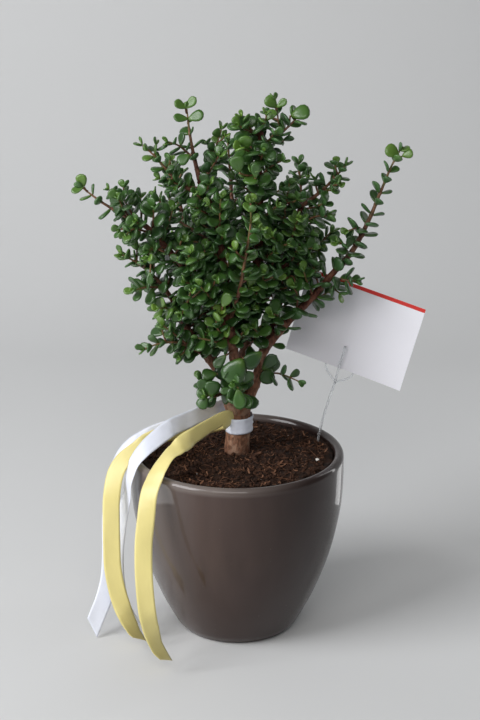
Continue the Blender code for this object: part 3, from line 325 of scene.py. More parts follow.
# Each ribbon's route, from the trunk to its free end, and the way that its width points there.
RIBBONS = {
    "ribbon_yellow_front": (
        "ribbon_yellow",
        ((-0.0095, -0.015, 0.199), (-0.0205, -0.0215, 0.196), (-0.035, -0.034, 0.191),
         (-0.0445, -0.044, 0.1875), (-0.051, -0.052, 0.1845), (-0.0585, -0.061, 0.181),
         (-0.065, -0.069, 0.1735), (-0.069, -0.0745, 0.1665), (-0.0735, -0.082, 0.1555),
         (-0.076, -0.089, 0.1355), (-0.078, -0.094, 0.115), (-0.078, -0.099, 0.09),
         (-0.076, -0.1035, 0.0625), (-0.073, -0.1055, 0.045), (-0.0675, -0.1065, 0.0265),
         (-0.06, -0.1065, 0.014)),
        ((0, 0.3, -1), (0, 0.2, -1), (0.1, 0, -1), (0.2, -0.6, -0.75), (0.4, -0.85, -0.3),
         (0.65, -0.75, 0), (0.8, -0.6, 0), (0.9, -0.4, 0), (0.95, -0.3, 0), (1, -0.1, 0),
         (1, 0, 0), (1, 0, 0), (1, 0.1, 0), (0.9, 0.45, 0), (0.6, 0.8, -0.1), (0.35, 0.93, -0.15)),
    ),
    "ribbon_yellow_rear": (
        "ribbon_yellow",
        ((-0.021, 0.0105, 0.183), (-0.0325, 0.0065, 0.1805), (-0.046, -0.001, 0.1805),
         (-0.0585, -0.0085, 0.182), (-0.0685, -0.015, 0.1815), (-0.078, -0.0205, 0.1785),
         (-0.086, -0.025, 0.1735), (-0.098, -0.03, 0.1655), (-0.105, -0.036, 0.154),
         (-0.108, -0.043, 0.1355), (-0.1085, -0.046, 0.115), (-0.1085, -0.048, 0.0945),
         (-0.108, -0.051, 0.075), (-0.105, -0.054, 0.0565), (-0.101, -0.057, 0.0425),
         (-0.0955, -0.06, 0.0285), (-0.0895, -0.062, 0.0165), (-0.085, -0.063, 0.0105)),
        ((0, 0.1, -1), (0, 0.15, -1), (0, 0.15, -1), (0.05, 0.1, -1), (0.2, 0, -1), (0.45, -0.3, -0.8),
         (0.6, -0.5, -0.6), (0.75, -0.5, -0.4), (0.95, -0.3, -0.15), (1, -0.1, 0), (1, -0.05, 0),
         (1, 0, 0), (1, 0, 0), (1, 0.1, 0), (0.95, 0.2, 0), (0.8, 0.6, 0), (0.55, 0.82, -0.1),
         (0.35, 0.92, -0.2)),
    ),
    "ribbon_white_front": (
        "ribbon_white",
        ((-0.0045, 0.0175, 0.1955), (-0.013, 0.014, 0.1975), (-0.0205, 0.006, 0.1985),
         (-0.0315, -0.003, 0.198), (-0.0435, -0.011, 0.195), (-0.0535, -0.019, 0.1935),
         (-0.061, -0.025, 0.1905), (-0.072, -0.033, 0.184), (-0.0805, -0.039, 0.1775),
         (-0.087, -0.042, 0.17), (-0.09, -0.044, 0.163), (-0.093, -0.043, 0.1515),
         (-0.0955, -0.037, 0.133), (-0.1005, -0.032, 0.1145), (-0.105, -0.031, 0.0925),
         (-0.107, -0.034, 0.071), (-0.1055, -0.04, 0.0505), (-0.101, -0.044, 0.033),
         (-0.095, -0.047, 0.02)),
        ((0, 0, -1), (0.1, 0.1, -1), (0.15, 0.3, -0.95), (0.2, 0.1, -0.95), (0.25, -0.1, -0.95),
         (0.35, -0.3, -0.9), (0.45, -0.5, -0.75), (0.5, -0.65, -0.55), (0.55, -0.75, -0.35),
         (0.6, -0.8, -0.1), (0.5, -0.85, 0), (0.4, -0.92, 0), (0.45, -0.88, 0), (0.7, -0.7, 0),
         (0.9, -0.4, 0), (1, 0, 0), (1, 0, 0), (1, 0, 0), (1, 0, 0)),
    ),
    "ribbon_white_rear": (
        "ribbon_white",
        ((-0.0045, 0.021, 0.187), (-0.017, 0.018, 0.1865), (-0.0325, 0.014, 0.185),
         (-0.0465, 0.009, 0.1835), (-0.0605, 0.004, 0.182), (-0.073, 0, 0.1785), (-0.084, -0.004, 0.174),
         (-0.0945, -0.008, 0.1695), (-0.103, -0.01, 0.1605), (-0.108, -0.012, 0.1455),
         (-0.1105, -0.013, 0.124), (-0.112, -0.015, 0.1025), (-0.112, -0.018, 0.0825),
         (-0.1125, -0.021, 0.0645), (-0.114, -0.025, 0.049), (-0.118, -0.03, 0.034),
         (-0.1235, -0.035, 0.0205), (-0.1285, -0.039, 0.009)),
        ((0, 0, -1), (0, 0, -1), (0, 0, -1), (0, 0, -1), (0.1, -0.1, -1), (0.2, -0.25, -0.9),
         (0.35, -0.5, -0.75), (0.35, -0.8, -0.4), (0.4, -0.85, -0.15), (0.6, -0.75, 0), (0.85, -0.5, 0),
         (1, -0.2, 0), (1, 0, 0), (1, 0, 0), (1, 0, -0.1), (1, 0, -0.25), (1, 0, -0.4), (1, 0, -0.5)),
    ),
}


# Settings


def colour(name, description, default):
    return FloatVectorProperty(name=name, description=description, default=default, subtype="COLOR",
                               size=3, min=0, max=1)


def length(name, description, default):
    return FloatProperty(name=name, description=description, default=default, unit="LENGTH", min=0,
                         precision=4)


class PotSettings(bpy.types.PropertyGroup):
    height: length("Height", "Height of the pot's rim", POT_HIGH.z)
    radius: length("Radius", "Outer radius at the rim", POT_HIGH.x)
    wall: length("Wall", "Thickness of the wall", 0.0088)
    glaze: colour("Glaze", "Main colour of the glaze", (0.078, 0.050, 0.040))
    glaze_thin: colour("Thin glaze", "Colour where the glaze is thin, as on the rim", (0.190, 0.160, 0.145))
    segments: IntProperty(name="Segments", description="Sides of the turned shape", default=144, min=24)


class SoilSettings(bpy.types.PropertyGroup):
    dark: colour("Dark", "Colour of the wet peat", (0.011, 0.0055, 0.0035))
    light: colour("Light", "Colour of the drier bits", (0.085, 0.036, 0.019))
    crumb: length("Crumb", "Size of the largest crumbs", 0.0038)
    crumbs: IntProperty(name="Crumbs", description="Number of crumbs", default=2600, min=0)
    fibres: IntProperty(name="Fibres", description="Number of coir fibres", default=620, min=0)
    flakes: IntProperty(name="Flakes", description="Number of bark flakes", default=230, min=0)


class WoodSettings(bpy.types.PropertyGroup):
    bark: colour("Bark", "Colour of the old bark", (0.265, 0.122, 0.068))
    bark_dark: colour("Dark bark", "Colour of the younger, redder bark", (0.095, 0.028, 0.016))
    patch: colour("Patches", "Colour of the weathered patches", (0.420, 0.265, 0.175))
    green: colour("Young stem", "Colour of the green ends of the twigs", (0.110, 0.120, 0.030))
    voxel: length("Voxel", "Fineness of the wood's surface", 0.0008)


class LeafSettings(bpy.types.PropertyGroup):
    old: colour("Old leaf", "Colour of the dark leaves", (0.016, 0.050, 0.011))
    middle: colour("Grown leaf", "Colour of most leaves", (0.042, 0.110, 0.018))
    young: colour("New leaf", "Colour of the newest leaves", (0.190, 0.330, 0.042))
    thickness: length("Thickness", "Thickness of a leaf 10 mm long", 0.0019)
    scale: FloatProperty(name="Scale", description="Size of every leaf", default=1, min=0.1, max=3)


class RibbonSettings(bpy.types.PropertyGroup):
    width: length("Width", "Width of the ribbons", 0.015)
    thickness: length("Thickness", "Thickness of the satin", 0.00030)
    white: colour("White", "Colour of the white ribbon", (0.800, 0.825, 0.920))
    yellow: colour("Yellow", "Colour of the yellow ribbon", (0.830, 0.710, 0.270))


class CardSettings(bpy.types.PropertyGroup):
    paper: colour("Paper", "Colour of the card", (0.860, 0.850, 0.900))
    stripe: colour("Stripe", "Colour of the stripe along its upper edge", (0.640, 0.030, 0.022))
    stripe_width: length("Stripe width", "Width of the stripe", 0.0034)
    bend: length("Bend", "How far the card's sides bend forward", 0.0009)
    pick_radius: length("Pick radius", "Half the thickness of the clear pick", 0.0011)


class StageSettings(bpy.types.PropertyGroup):
    floor: colour("Floor", "Colour of the floor and the backdrop", (0.690, 0.690, 0.685))
    key_power: FloatProperty(name="Key light", description="Power of the window light in watts", default=46)
    glow_power: FloatProperty(
        name="Glow", description="Power of the low panel seen in the glaze", default=0.20)
    strip_power: FloatProperty(name="Side light", description="Power of the narrow side light", default=1.2)


# Routes


def smooth_route(points, step):
    """A Catmull-Rom curve through the points, as points about one step apart."""
    points = [Vector(point) for point in points]
    ends = [2 * points[0] - points[1]] + points + [2 * points[-1] - points[-2]]
    route = []
    for a, b, c, d in zip(ends, ends[1:], ends[2:], ends[3:]):
        pieces = max(1, round((c - b).length / step))
        for piece in range(pieces):
            t = piece / pieces
            route.append(0.5 * (2 * b + (c - a) * t + (2 * a - 5 * b + 4 * c - d) * t**2
                                + (3 * b - a - 3 * c + d) * t**3))
    return route + [points[-1]]


def route_length(route):
    return sum((b - a).length for a, b in zip(route, route[1:]))


def along(route, distance):
    """The point at this distance along a route, and the direction there."""
    for a, b in zip(route, route[1:]):
        piece = (b - a).length
        if distance <= piece or b is route[-1]:
            return a + (b - a) * (distance / piece), (b - a).normalized()
        distance -= piece


def frames(route, first=Vector((1, 0, 0))):
    """Two directions across a route at each point, carried along it with no twist."""
    across = first
    found = []
    for i in range(len(route)):
        ahead = (route[min(i + 1, len(route) - 1)] - route[max(i - 1, 0)]).normalized()
        across = (across - ahead * across.dot(ahead)).normalized()
        found.append((across, ahead.cross(across), ahead))
    return found


def tube(route, radii, sides):
    """Points and faces of a closed tube; a radius may vary round the ring, as a function of the angle."""
    points = []
    for centre, radius, (across, up, _) in zip(route, radii, frames(route)):
        for side in range(sides):
            angle = tau * (side + 0.5) / sides
            reach = radius(angle) if callable(radius) else radius
            points.append(centre + reach * (cos(angle) * across + sin(angle) * up))
    faces = [tuple(range(sides))[::-1], tuple(range(len(points) - sides, len(points)))]
    for ring in range(0, len(points) - sides, sides):
        for side in range(sides):
            after = (side + 1) % sides
            faces.append((ring + side, ring + after, ring + sides + after, ring + sides + side))
    return points, faces


def turned(profile, segments):
    """Points and faces of a profile of (radius, height) turned about Z, its outer side run bottom to top."""
    points = []
    rings = []
    for radius, height in profile:
        if radius == 0:
            rings.append([len(points)])
            points.append(Vector((0, 0, height)))
            continue
        rings.append(list(range(len(points), len(points) + segments)))
        for step in range(segments):
            angle = tau * step / segments
            points.append(Vector((radius * cos(angle), radius * sin(angle), height)))
    faces = []
    for low, high in zip(rings, rings[1:] + rings[:1]):
        if len(low) == 1 and len(high) == 1:
            continue
        for step in range(segments):
            after = (step + 1) % segments
            if len(low) == 1:
                faces.append((low[0], high[after], high[step]))
            elif len(high) == 1:
                faces.append((low[step], low[after], high[0]))
            else:
                faces.append((low[step], low[after], high[after], high[step]))
    return points, faces


# Objects


def add_mesh(name, points, faces, edges=(), smooth=True):
    mesh = bpy.data.meshes.new(name)
    mesh.from_pydata([tuple(point) for point in points], list(edges), faces)
    mesh.validate()
    if smooth:
        mesh.shade_smooth()
    made = bpy.data.objects.new(name, mesh)
    bpy.context.scene.collection.objects.link(made)
    return made


def join_shapes(shapes):
    """Several (points, faces) as one."""
    points = []
    faces = []
    for own_points, own_faces in shapes:
        start = len(points)
        points += own_points
        faces += [tuple(start + corner for corner in face) for face in own_faces]
    return points, faces


def settle(made):
    """Turns the evaluated object into a plain mesh and takes its modifiers off."""
    graph = bpy.context.evaluated_depsgraph_get()
    mesh = bpy.data.meshes.new_from_object(made.evaluated_get(graph), preserve_all_data_layers=True,
                                           depsgraph=graph)
    made.modifiers.clear()
    made.data = mesh
    mesh.name = made.name
    return made


def place(made, slot, *nodes):
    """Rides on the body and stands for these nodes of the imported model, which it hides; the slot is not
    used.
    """
    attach(made, "root")
    if nodes:
        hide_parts(*nodes)
    return made


def point_values(mesh, name, kind, values):
    """Stores one value for each vertex."""
    attribute = mesh.attributes.new(name, kind, "POINT")
    flat = [part for value in values for part in value] if kind == "QUATERNION" else values
    attribute.data.foreach_set("value", flat)


# Node trees


def put(tree, kind, values=None, **settings):
    """Adds a node. Each value goes to the input of that name or number, linked where it is a socket."""
    node = tree.nodes.new(kind)
    for name, value in settings.items():
        setattr(node, name, value)
    for name, value in (values or {}).items():
        if isinstance(value, bpy.types.NodeSocket):
            tree.links.new(value, node.inputs[name])
        else:
            node.inputs[name].default_value = value
    return node


def shown_output(node):
    return next(output for output in node.outputs if output.enabled)


def new_geometry_tree(name, inputs):
    """A geometry tree with named inputs, given as (name, socket type, default)."""
    tree = bpy.data.node_groups.new(name, "GeometryNodeTree")
    tree.interface.new_socket("Geometry", in_out="INPUT", socket_type="NodeSocketGeometry")
    for label, kind, default in inputs:
        socket = tree.interface.new_socket(label, in_out="INPUT", socket_type=kind)
        if default is not None:
            socket.default_value = default
    tree.interface.new_socket("Geometry", in_out="OUTPUT", socket_type="NodeSocketGeometry")
    return tree, tree.nodes.new("NodeGroupInput").outputs


def end_geometry_tree(tree, geometry, material):
    """Every tree ends in real geometry with its material."""
    real = put(tree, "GeometryNodeRealizeInstances", {"Geometry": geometry})
    painted = put(tree, "GeometryNodeSetMaterial", {"Geometry": real.outputs[0], "Material": material})
    put(tree, "NodeGroupOutput", {"Geometry": painted.outputs[0]})
    return tree


def grow(made, tree, values):
    """Runs a geometry tree on an object, with its inputs set by name, and keeps the result as a mesh."""
    modifier = made.modifiers.new(tree.name, "NODES")
    modifier.node_group = tree
    for item in tree.interface.items_tree:
        if item.in_out == "INPUT" and item.name in values:
            modifier[item.identifier] = values[item.name]
    return settle(made)


def named(tree, name, kind="FLOAT"):
    return shown_output(put(tree, "GeometryNodeInputNamedAttribute", {"Name": name}, data_type=kind))


def twig_tree():
    """Lines to round twigs, as thick as their points say."""
    tree, given = new_geometry_tree("Twigs", (("Sides", "NodeSocketInt", 8),
                                              ("Material", "NodeSocketMaterial", None)))
    line = put(tree, "GeometryNodeMeshToCurve", {"Mesh": given["Geometry"]}).outputs[0]
    thick = put(tree, "GeometryNodeSetCurveRadius", {"Curve": line, "Radius": named(tree, "thickness")})
    ring = put(tree, "GeometryNodeCurvePrimitiveCircle", {"Resolution": given["Sides"], "Radius": 1.0})
    values = {"Curve": thick.outputs[0], "Profile Curve": ring.outputs[0], "Fill Caps": True}
    solid = put(tree, "GeometryNodeCurveToMesh", values)
    if "Scale" in solid.inputs:
        tree.links.new(named(tree, "thickness"), solid.inputs["Scale"])
    smooth = put(tree, "GeometryNodeSetShadeSmooth", {"Geometry": solid.outputs[0]})
    return end_geometry_tree(tree, smooth.outputs[0], given["Material"])


def scatter_tree():
    """A shape on each point, turned and sized as the point says, the shape drawn by a seed."""
    inputs = (("Shapes", "NodeSocketCollection", None), ("Shape Count", "NodeSocketInt", 3),
              ("Scale", "NodeSocketFloat", 1.0), ("Seed", "NodeSocketInt", SEED),
              ("Material", "NodeSocketMaterial", None))
    tree, given = new_geometry_tree("Scatter", inputs)
    shapes = put(tree, "GeometryNodeCollectionInfo", {"Collection": given["Shapes"],
                                                      "Separate Children": True, "Reset Children": True})
    last = put(tree, "ShaderNodeMath", {0: given["Shape Count"], 1: 1.0}, operation="SUBTRACT").outputs[0]
    chosen = put(tree, "FunctionNodeRandomValue", {4: 0, 5: last, 8: given["Seed"]}, data_type="INT")
    size = put(tree, "ShaderNodeMath", {0: named(tree, "size"), 1: given["Scale"]}, operation="MULTIPLY")
    copies = put(tree, "GeometryNodeInstanceOnPoints", {
        "Points": given["Geometry"], "Instance": shapes.outputs[0], "Pick Instance": True,
        "Instance Index": shown_output(chosen), "Rotation": named(tree, "turn", "QUATERNION"),
        "Scale": size.outputs[0]})
    return end_geometry_tree(tree, copies.outputs[0], given["Material"])


def scatter(name, spots, shapes, seed, scale, material):
    """Puts the shapes on spots, each a (place, turn, size, tint), as one plain mesh."""
    made = add_mesh(name, [spot[0] for spot in spots], [])
    point_values(made.data, "turn", "QUATERNION", [tuple(spot[1]) for spot in spots])
    point_values(made.data, "size", "FLOAT", [spot[2] for spot in spots])
    point_values(made.data, "tint", "FLOAT", [spot[3] for spot in spots])
    holder = bpy.data.collections.new(name + "_shapes")
    for shape in shapes:
        for owner in list(shape.users_collection):
            owner.objects.unlink(shape)
        holder.objects.link(shape)
    grow(made, shared_tree("Scatter", scatter_tree), {
        "Shapes": holder, "Shape Count": len(shapes), "Scale": scale, "Seed": seed, "Material": material})
    return made, holder


def shared_tree(name, build):
    return bpy.data.node_groups.get(name) or build()


def drop_shapes(holder):
    for shape in list(holder.objects):
        bpy.data.objects.remove(shape)
    bpy.data.collections.remove(holder)


# Materials


def new_material(name, values):
    """A Principled material, its tree and its shader."""
    material = bpy.data.materials.new(name)
    material.use_nodes = True
    shader = material.node_tree.nodes["Principled BSDF"]
    for label, value in values.items():
        shader.inputs[label].default_value = value
    return material, material.node_tree, shader


def solid_colour(rgb):
    return (*rgb, 1)


def scaled(rgb, factor):
    return tuple(min(1, part * factor) for part in rgb)


def object_place(tree):
    return tree.nodes.new("ShaderNodeTexCoord").outputs["Object"]


def blend_colour(tree, factor, first, second, mode="MIX"):
    node = put(tree, "ShaderNodeMix", {0: factor, 6: first, 7: second}, data_type="RGBA", blend_type=mode)
    return node.outputs[2]


def between(tree, value, low, high, to_low=0.0, to_high=1.0):
    node = put(tree, "ShaderNodeMapRange", {"Value": value, "From Min": low, "From Max": high,
                                            "To Min": to_low, "To Max": to_high})
    return node.outputs[0]


def work_out(tree, operation, first, second=0.0):
    return put(tree, "ShaderNodeMath", {0: first, 1: second}, operation=operation).outputs[0]


def mottle_group():
    """Cloudy variation: a mask and a fine grain from noise, stretched along one axis where wanted."""
    group = bpy.data.node_groups.get("Mottle")
    if group:
        return group
    group = bpy.data.node_groups.new("Mottle", "ShaderNodeTree")
    for label, kind, default in (("Place", "NodeSocketVector", None), ("Size", "NodeSocketFloat", 0.01),
                                 ("Grain Size", "NodeSocketFloat", 0.001), ("Low", "NodeSocketFloat", 0.35),
                                 ("High", "NodeSocketFloat", 0.65), ("Stretch", "NodeSocketVector", None)):
        socket = group.interface.new_socket(label, in_out="INPUT", socket_type=kind)
        if default is not None:
            socket.default_value = default
        elif label == "Stretch":
            socket.default_value = (1, 1, 1)
    group.interface.new_socket("Mask", in_out="OUTPUT", socket_type="NodeSocketFloat")
    group.interface.new_socket("Grain", in_out="OUTPUT", socket_type="NodeSocketFloat")
    given = group.nodes.new("NodeGroupInput").outputs
    place_at = put(group, "ShaderNodeVectorMath", {0: given["Place"], 1: given["Stretch"]},
                   operation="MULTIPLY").outputs[0]
    large = put(group, "ShaderNodeTexNoise", {
        "Vector": place_at, "Scale": work_out(group, "DIVIDE", 1.0, given["Size"]), "Detail": 4.0})
    fine = put(group, "ShaderNodeTexNoise", {
        "Vector": place_at, "Scale": work_out(group, "DIVIDE", 1.0, given["Grain Size"]), "Detail": 3.0})
    mask = put(group, "ShaderNodeMapRange", {"Value": large.outputs[0], "From Min": given["Low"],
                                             "From Max": given["High"]})
    put(group, "NodeGroupOutput", {"Mask": mask.outputs[0], "Grain": fine.outputs[0]})
    return group


def mottle(tree, values):
    """A placed Mottle group: its mask and its grain."""
    node = tree.nodes.new("ShaderNodeGroup")
    node.node_tree = mottle_group()
    values = {"Place": object_place(tree), **values}
    for label, value in values.items():
        if isinstance(value, bpy.types.NodeSocket):
            tree.links.new(value, node.inputs[label])
        else:
            node.inputs[label].default_value = value
    return node.outputs["Mask"], node.outputs["Grain"]


def add_bump(tree, shader, height, strength, distance):
    bump = put(tree, "ShaderNodeBump", {"Height": height, "Strength": strength, "Distance": distance})
    tree.links.new(bump.outputs[0], shader.inputs["Normal"])


def glaze_material(settings):
    """Deep brown-grey glaze: streaked, thin and light on the rim, darker low down, with pinholes; its left
    side is lightened by a painted window reflection and its right side darkened by painted shade.
    """
    material, tree, shader = new_material("glaze", {
        "Coat Weight": 0.7, "Coat Roughness": 0.06, "Coat IOR": 1.45,
        "Specular IOR Level": 0.1})
    where = object_place(tree)
    height = put(tree, "ShaderNodeSeparateXYZ", {0: where}).outputs
    streaks, _ = mottle(tree, {"Size": 0.016, "Stretch": (1, 1, 0.16), "Low": 0.30, "High": 0.72})
    clouds, grain = mottle(tree, {"Size": 0.040, "Grain Size": 0.0016, "Low": 0.30, "High": 0.70})
    base = blend_colour(tree, between(tree, streaks, 0, 1, 0, 0.6),
                        solid_colour(scaled(settings.glaze, 0.72)),
                        solid_colour(scaled(settings.glaze, 1.18)))
    base = blend_colour(tree, between(tree, clouds, 0, 1, 0, 0.5), base,
                        solid_colour((0.075, 0.048, 0.042)))
    base = blend_colour(tree, between(tree, height["Z"], 0.0, 0.09, 0.65, 0.0), base,
                        solid_colour((0.030, 0.014, 0.011)))
    # Painted reflection: the left side of the glaze is lightened towards pale grey-brown, standing in for the
    # window seen in the glaze.
    base = blend_colour(tree, between(tree, height["X"], -0.090, -0.030, 0.80, 0.0), base,
                        solid_colour((0.150, 0.130, 0.122)))
    rim = settings.height - 0.002
    base = blend_colour(tree, between(tree, height["Z"], rim - 0.0055, rim, 0.0, 0.85), base,
                        solid_colour(settings.glaze_thin))
    # Painted shade: the right side of the glaze is darkened nearly to black-brown, standing in for the side
    # turned away from the window.
    base = blend_colour(tree, between(tree, height["X"], -0.02, 0.06, 0.0, 0.90), base,
                        solid_colour((0.016, 0.0065, 0.0055)))
    specks = put(tree, "ShaderNodeTexVoronoi", {"Vector": where, "Scale": 210.0, "Randomness": 1.0})
    speck = between(tree, specks.outputs["Distance"], 0.05, 0.09, 1.0, 0.0)
    rare = between(tree, put(tree, "ShaderNodeSeparateXYZ", {0: specks.outputs["Color"]}).outputs["X"],
                   0.90, 0.93, 0.0, 1.0)
    speck = work_out(tree, "MULTIPLY", speck, rare)
    base = blend_colour(tree, work_out(tree, "MULTIPLY", speck, 0.45), base, solid_colour((0.20, 0.17, 0.15)))
    tree.links.new(base, shader.inputs["Base Color"])
    tree.links.new(between(tree, grain, 0.3, 0.7, 0.28, 0.40), shader.inputs["Roughness"])
    relief = work_out(tree, "ADD", work_out(tree, "MULTIPLY", streaks, 0.5),
                      work_out(tree, "MULTIPLY", speck, -0.8))
    add_bump(tree, shader, relief, 0.06, 0.0010)
    return material


def soil_material(name, dark, light, rough=0.95):
    material, tree, shader = new_material(name, {"Roughness": rough, "Specular IOR Level": 0.25})
    clumps, grain = mottle(tree, {"Size": 0.006, "Grain Size": 0.0008, "Low": 0.35, "High": 0.65})
    tint = put(tree, "ShaderNodeAttribute", attribute_name="tint").outputs["Fac"]
    shade = work_out(tree, "MULTIPLY", clumps, 0.35)
    shade = work_out(tree, "ADD", shade, work_out(tree, "MULTIPLY", tint, 0.8))
    base = blend_colour(tree, shade, solid_colour(dark), solid_colour(light))
    tree.links.new(base, shader.inputs["Base Color"])
    add_bump(tree, shader, grain, 0.6, 0.0006)
    return material


def bark_material(settings):
    """Tan old bark with weathered patches low down, redder and darker higher up, with fine cracks."""
    material, tree, shader = new_material("bark", {"Specular IOR Level": 0.35})
    height = put(tree, "ShaderNodeSeparateXYZ", {0: object_place(tree)}).outputs["Z"]
    patches, grain = mottle(tree, {"Size": 0.0075, "Grain Size": 0.0011, "Low": 0.48, "High": 0.62})
    cracks, _ = mottle(tree, {"Size": 0.0022, "Stretch": (1, 1, 0.45), "Low": 0.36, "High": 0.56})
    old = blend_colour(tree, cracks, solid_colour(scaled(settings.bark, 0.50)), solid_colour(settings.bark))
    old = blend_colour(tree, work_out(tree, "MULTIPLY", patches, 0.75), old, solid_colour(settings.patch))
    new = blend_colour(tree, cracks, solid_colour(scaled(settings.bark_dark, 0.5)),
                       solid_colour(scaled(settings.bark_dark, 1.5)))
    new = blend_colour(tree, work_out(tree, "MULTIPLY", patches, 0.35), new, solid_colour(settings.bark))
    base = blend_colour(tree, between(tree, height, 0.215, 0.290), old, new)
    base = blend_colour(tree, between(tree, height, 0.1630, 0.1720, 0.55, 0.0), base,
                        solid_colour(scaled(settings.bark_dark, 0.7)))
    tree.links.new(base, shader.inputs["Base Color"])
    tree.links.new(between(tree, grain, 0.3, 0.7, 0.55, 0.85), shader.inputs["Roughness"])
    relief = work_out(tree, "ADD", cracks, work_out(tree, "MULTIPLY", grain, 0.7))
    add_bump(tree, shader, relief, 0.55, 0.0009)
    return material


def twig_material(settings):
    """Red-brown twigs that turn green towards their tips."""
    material, tree, shader = new_material("twig", {"Roughness": 0.55, "Specular IOR Level": 0.4})
    blotch, grain = mottle(tree, {"Size": 0.0040, "Grain Size": 0.0007})
    old = blend_colour(tree, blotch, solid_colour(scaled(settings.bark_dark, 0.75)),
                       solid_colour(scaled(settings.bark, 0.85)))
    youth = put(tree, "ShaderNodeAttribute", attribute_name="youth").outputs["Fac"]
    green = blend_colour(tree, blotch, solid_colour(settings.green), solid_colour(scaled(settings.bark, 0.9)))
    base = blend_colour(tree, youth, old, green)
    tree.links.new(base, shader.inputs["Base Color"])
    add_bump(tree, shader, grain, 0.4, 0.0004)
    return material


def leaf_material(settings):
    """Thick glossy leaves: dark old ones to yellow-green new ones, paler at the foot and underneath."""
    material, tree, shader = new_material("leaf", {
        "Coat Weight": 0.22, "Coat Roughness": 0.18, "Specular IOR Level": 0.5})
    tint = put(tree, "ShaderNodeAttribute", attribute_name="tint").outputs["Fac"]
    flat = put(tree, "ShaderNodeSeparateXYZ", {0: put(tree, "ShaderNodeUVMap", uv_map="leaf").outputs[0]})
    across = flat.outputs["X"]
    under = work_out(tree, "GREATER_THAN", across, 1.5)
    across = work_out(tree, "SUBTRACT", across, work_out(tree, "MULTIPLY", under, 2.0))
    lengthways = flat.outputs["Y"]
    spots, grain = mottle(tree, {"Size": 0.0035, "Grain Size": 0.0009, "Low": 0.35, "High": 0.68})
    drift, _ = mottle(tree, {"Size": 0.024, "Low": 0.25, "High": 0.75})
    grown = blend_colour(tree, between(tree, tint, 0.0, 0.45), solid_colour(settings.old),
                         solid_colour(settings.middle))
    grown = blend_colour(tree, between(tree, tint, 0.45, 1.0), grown, solid_colour(settings.young))
    base = blend_colour(tree, work_out(tree, "MULTIPLY", spots, 0.45), grown, solid_colour((0.5, 0.5, 0.5)),
                        "SOFT_LIGHT")
    base = blend_colour(tree, work_out(tree, "MULTIPLY", drift, 0.30), base, solid_colour(settings.middle))
    foot = between(tree, lengthways, 0.0, 0.35, 0.45, 0.0)
    base = blend_colour(tree, foot, base, solid_colour(scaled(settings.young, 0.7)))
    base = blend_colour(tree, work_out(tree, "MULTIPLY", under, 0.35), base,
                        solid_colour((0.085, 0.190, 0.075)))
    tree.links.new(base, shader.inputs["Base Color"])
    rough = between(tree, grain, 0.3, 0.7, 0.28, 0.46)
    tree.links.new(rough, shader.inputs["Roughness"])
    rib = work_out(tree, "ABSOLUTE", work_out(tree, "SUBTRACT", across, 0.5))
    rib = between(tree, rib, 0.0, 0.06, 1.0, 0.0)
    rib = work_out(tree, "MULTIPLY", rib, between(tree, lengthways, 0.15, 0.75, 1.0, 0.0))
    relief = work_out(tree, "SUBTRACT", work_out(tree, "MULTIPLY", grain, 0.35),
                      work_out(tree, "MULTIPLY", rib, 0.5))
    add_bump(tree, shader, relief, 0.35, 0.0005)
    return material


def satin_material(name, rgb, width):
    """Satin: fine threads across, a soft sheen, and a firmer woven edge."""
    material, tree, shader = new_material(name, {
        "Sheen Weight": 0.30, "Sheen Roughness": 0.35, "Specular IOR Level": 0.8,
        "Anisotropic": 0.6})
    flat = put(tree, "ShaderNodeUVMap", uv_map="ribbon").outputs[0]
    parts = put(tree, "ShaderNodeSeparateXYZ", {0: flat})
    drift, grain = mottle(tree, {"Place": flat, "Size": 0.010, "Grain Size": 0.0006, "Stretch": (1, 0.35, 1)})
    threads = put(tree, "ShaderNodeTexWave", {"Vector": flat, "Scale": 1100.0, "Distortion": 0.6,
                                              "Detail": 1.0}, wave_type="BANDS", bands_direction="X")
    base = blend_colour(tree, between(tree, drift, 0, 1, 0.0, 0.35), solid_colour(rgb),
                        solid_colour(scaled(rgb, 0.86)))
    edge = work_out(tree, "ABSOLUTE", work_out(tree, "SUBTRACT", parts.outputs["X"], width / 2))
    edge = between(tree, edge, width / 2 - 0.0011, width / 2 - 0.0007)
    base = blend_colour(tree, work_out(tree, "MULTIPLY", edge, 0.30), base, solid_colour(scaled(rgb, 0.80)))
    tree.links.new(base, shader.inputs["Base Color"])
    tree.links.new(between(tree, grain, 0.3, 0.7, 0.32, 0.46), shader.inputs["Roughness"])
    relief = work_out(tree, "ADD", work_out(tree, "MULTIPLY", threads.outputs["Fac"], 0.5),
                      work_out(tree, "MULTIPLY", edge, 0.8))
    add_bump(tree, shader, relief, 0.22, 0.0002)
    return material


def card_material(settings):
    """Smooth white card with a stripe printed along the upper edge of its front."""
    material, tree, shader = new_material("card", {"Roughness": 0.55, "Specular IOR Level": 0.4})
    flat = put(tree, "ShaderNodeSeparateXYZ", {0: put(tree, "ShaderNodeUVMap", uv_map="card").outputs[0]})
    cloud, grain = mottle(tree, {"Size": 0.05, "Grain Size": 0.0006})
    base = blend_colour(tree, between(tree, cloud, 0, 1, 0, 0.25), solid_colour(settings.paper),
                        solid_colour(scaled(settings.paper, 0.93)))
    upper = work_out(tree, "GREATER_THAN", flat.outputs["Y"], CARD_SIZE[2] - settings.stripe_width)
    front = work_out(tree, "GREATER_THAN", flat.outputs["X"], 0.0)
    base = blend_colour(tree, work_out(tree, "MULTIPLY", upper, front), base, solid_colour(settings.stripe))
    tree.links.new(base, shader.inputs["Base Color"])
    add_bump(tree, shader, grain, 0.12, 0.0002)
    return material


def clear_material():
    """Clear moulded plastic."""
    material, tree, shader = new_material("clear_plastic", {
        "Base Color": (0.90, 0.92, 0.94, 1), "Transmission Weight": 0.78, "IOR": 1.49})
    _, grain = mottle(tree, {"Size": 0.02, "Grain Size": 0.002})
    tree.links.new(between(tree, grain, 0.3, 0.7, 0.14, 0.28), shader.inputs["Roughness"])
    return material


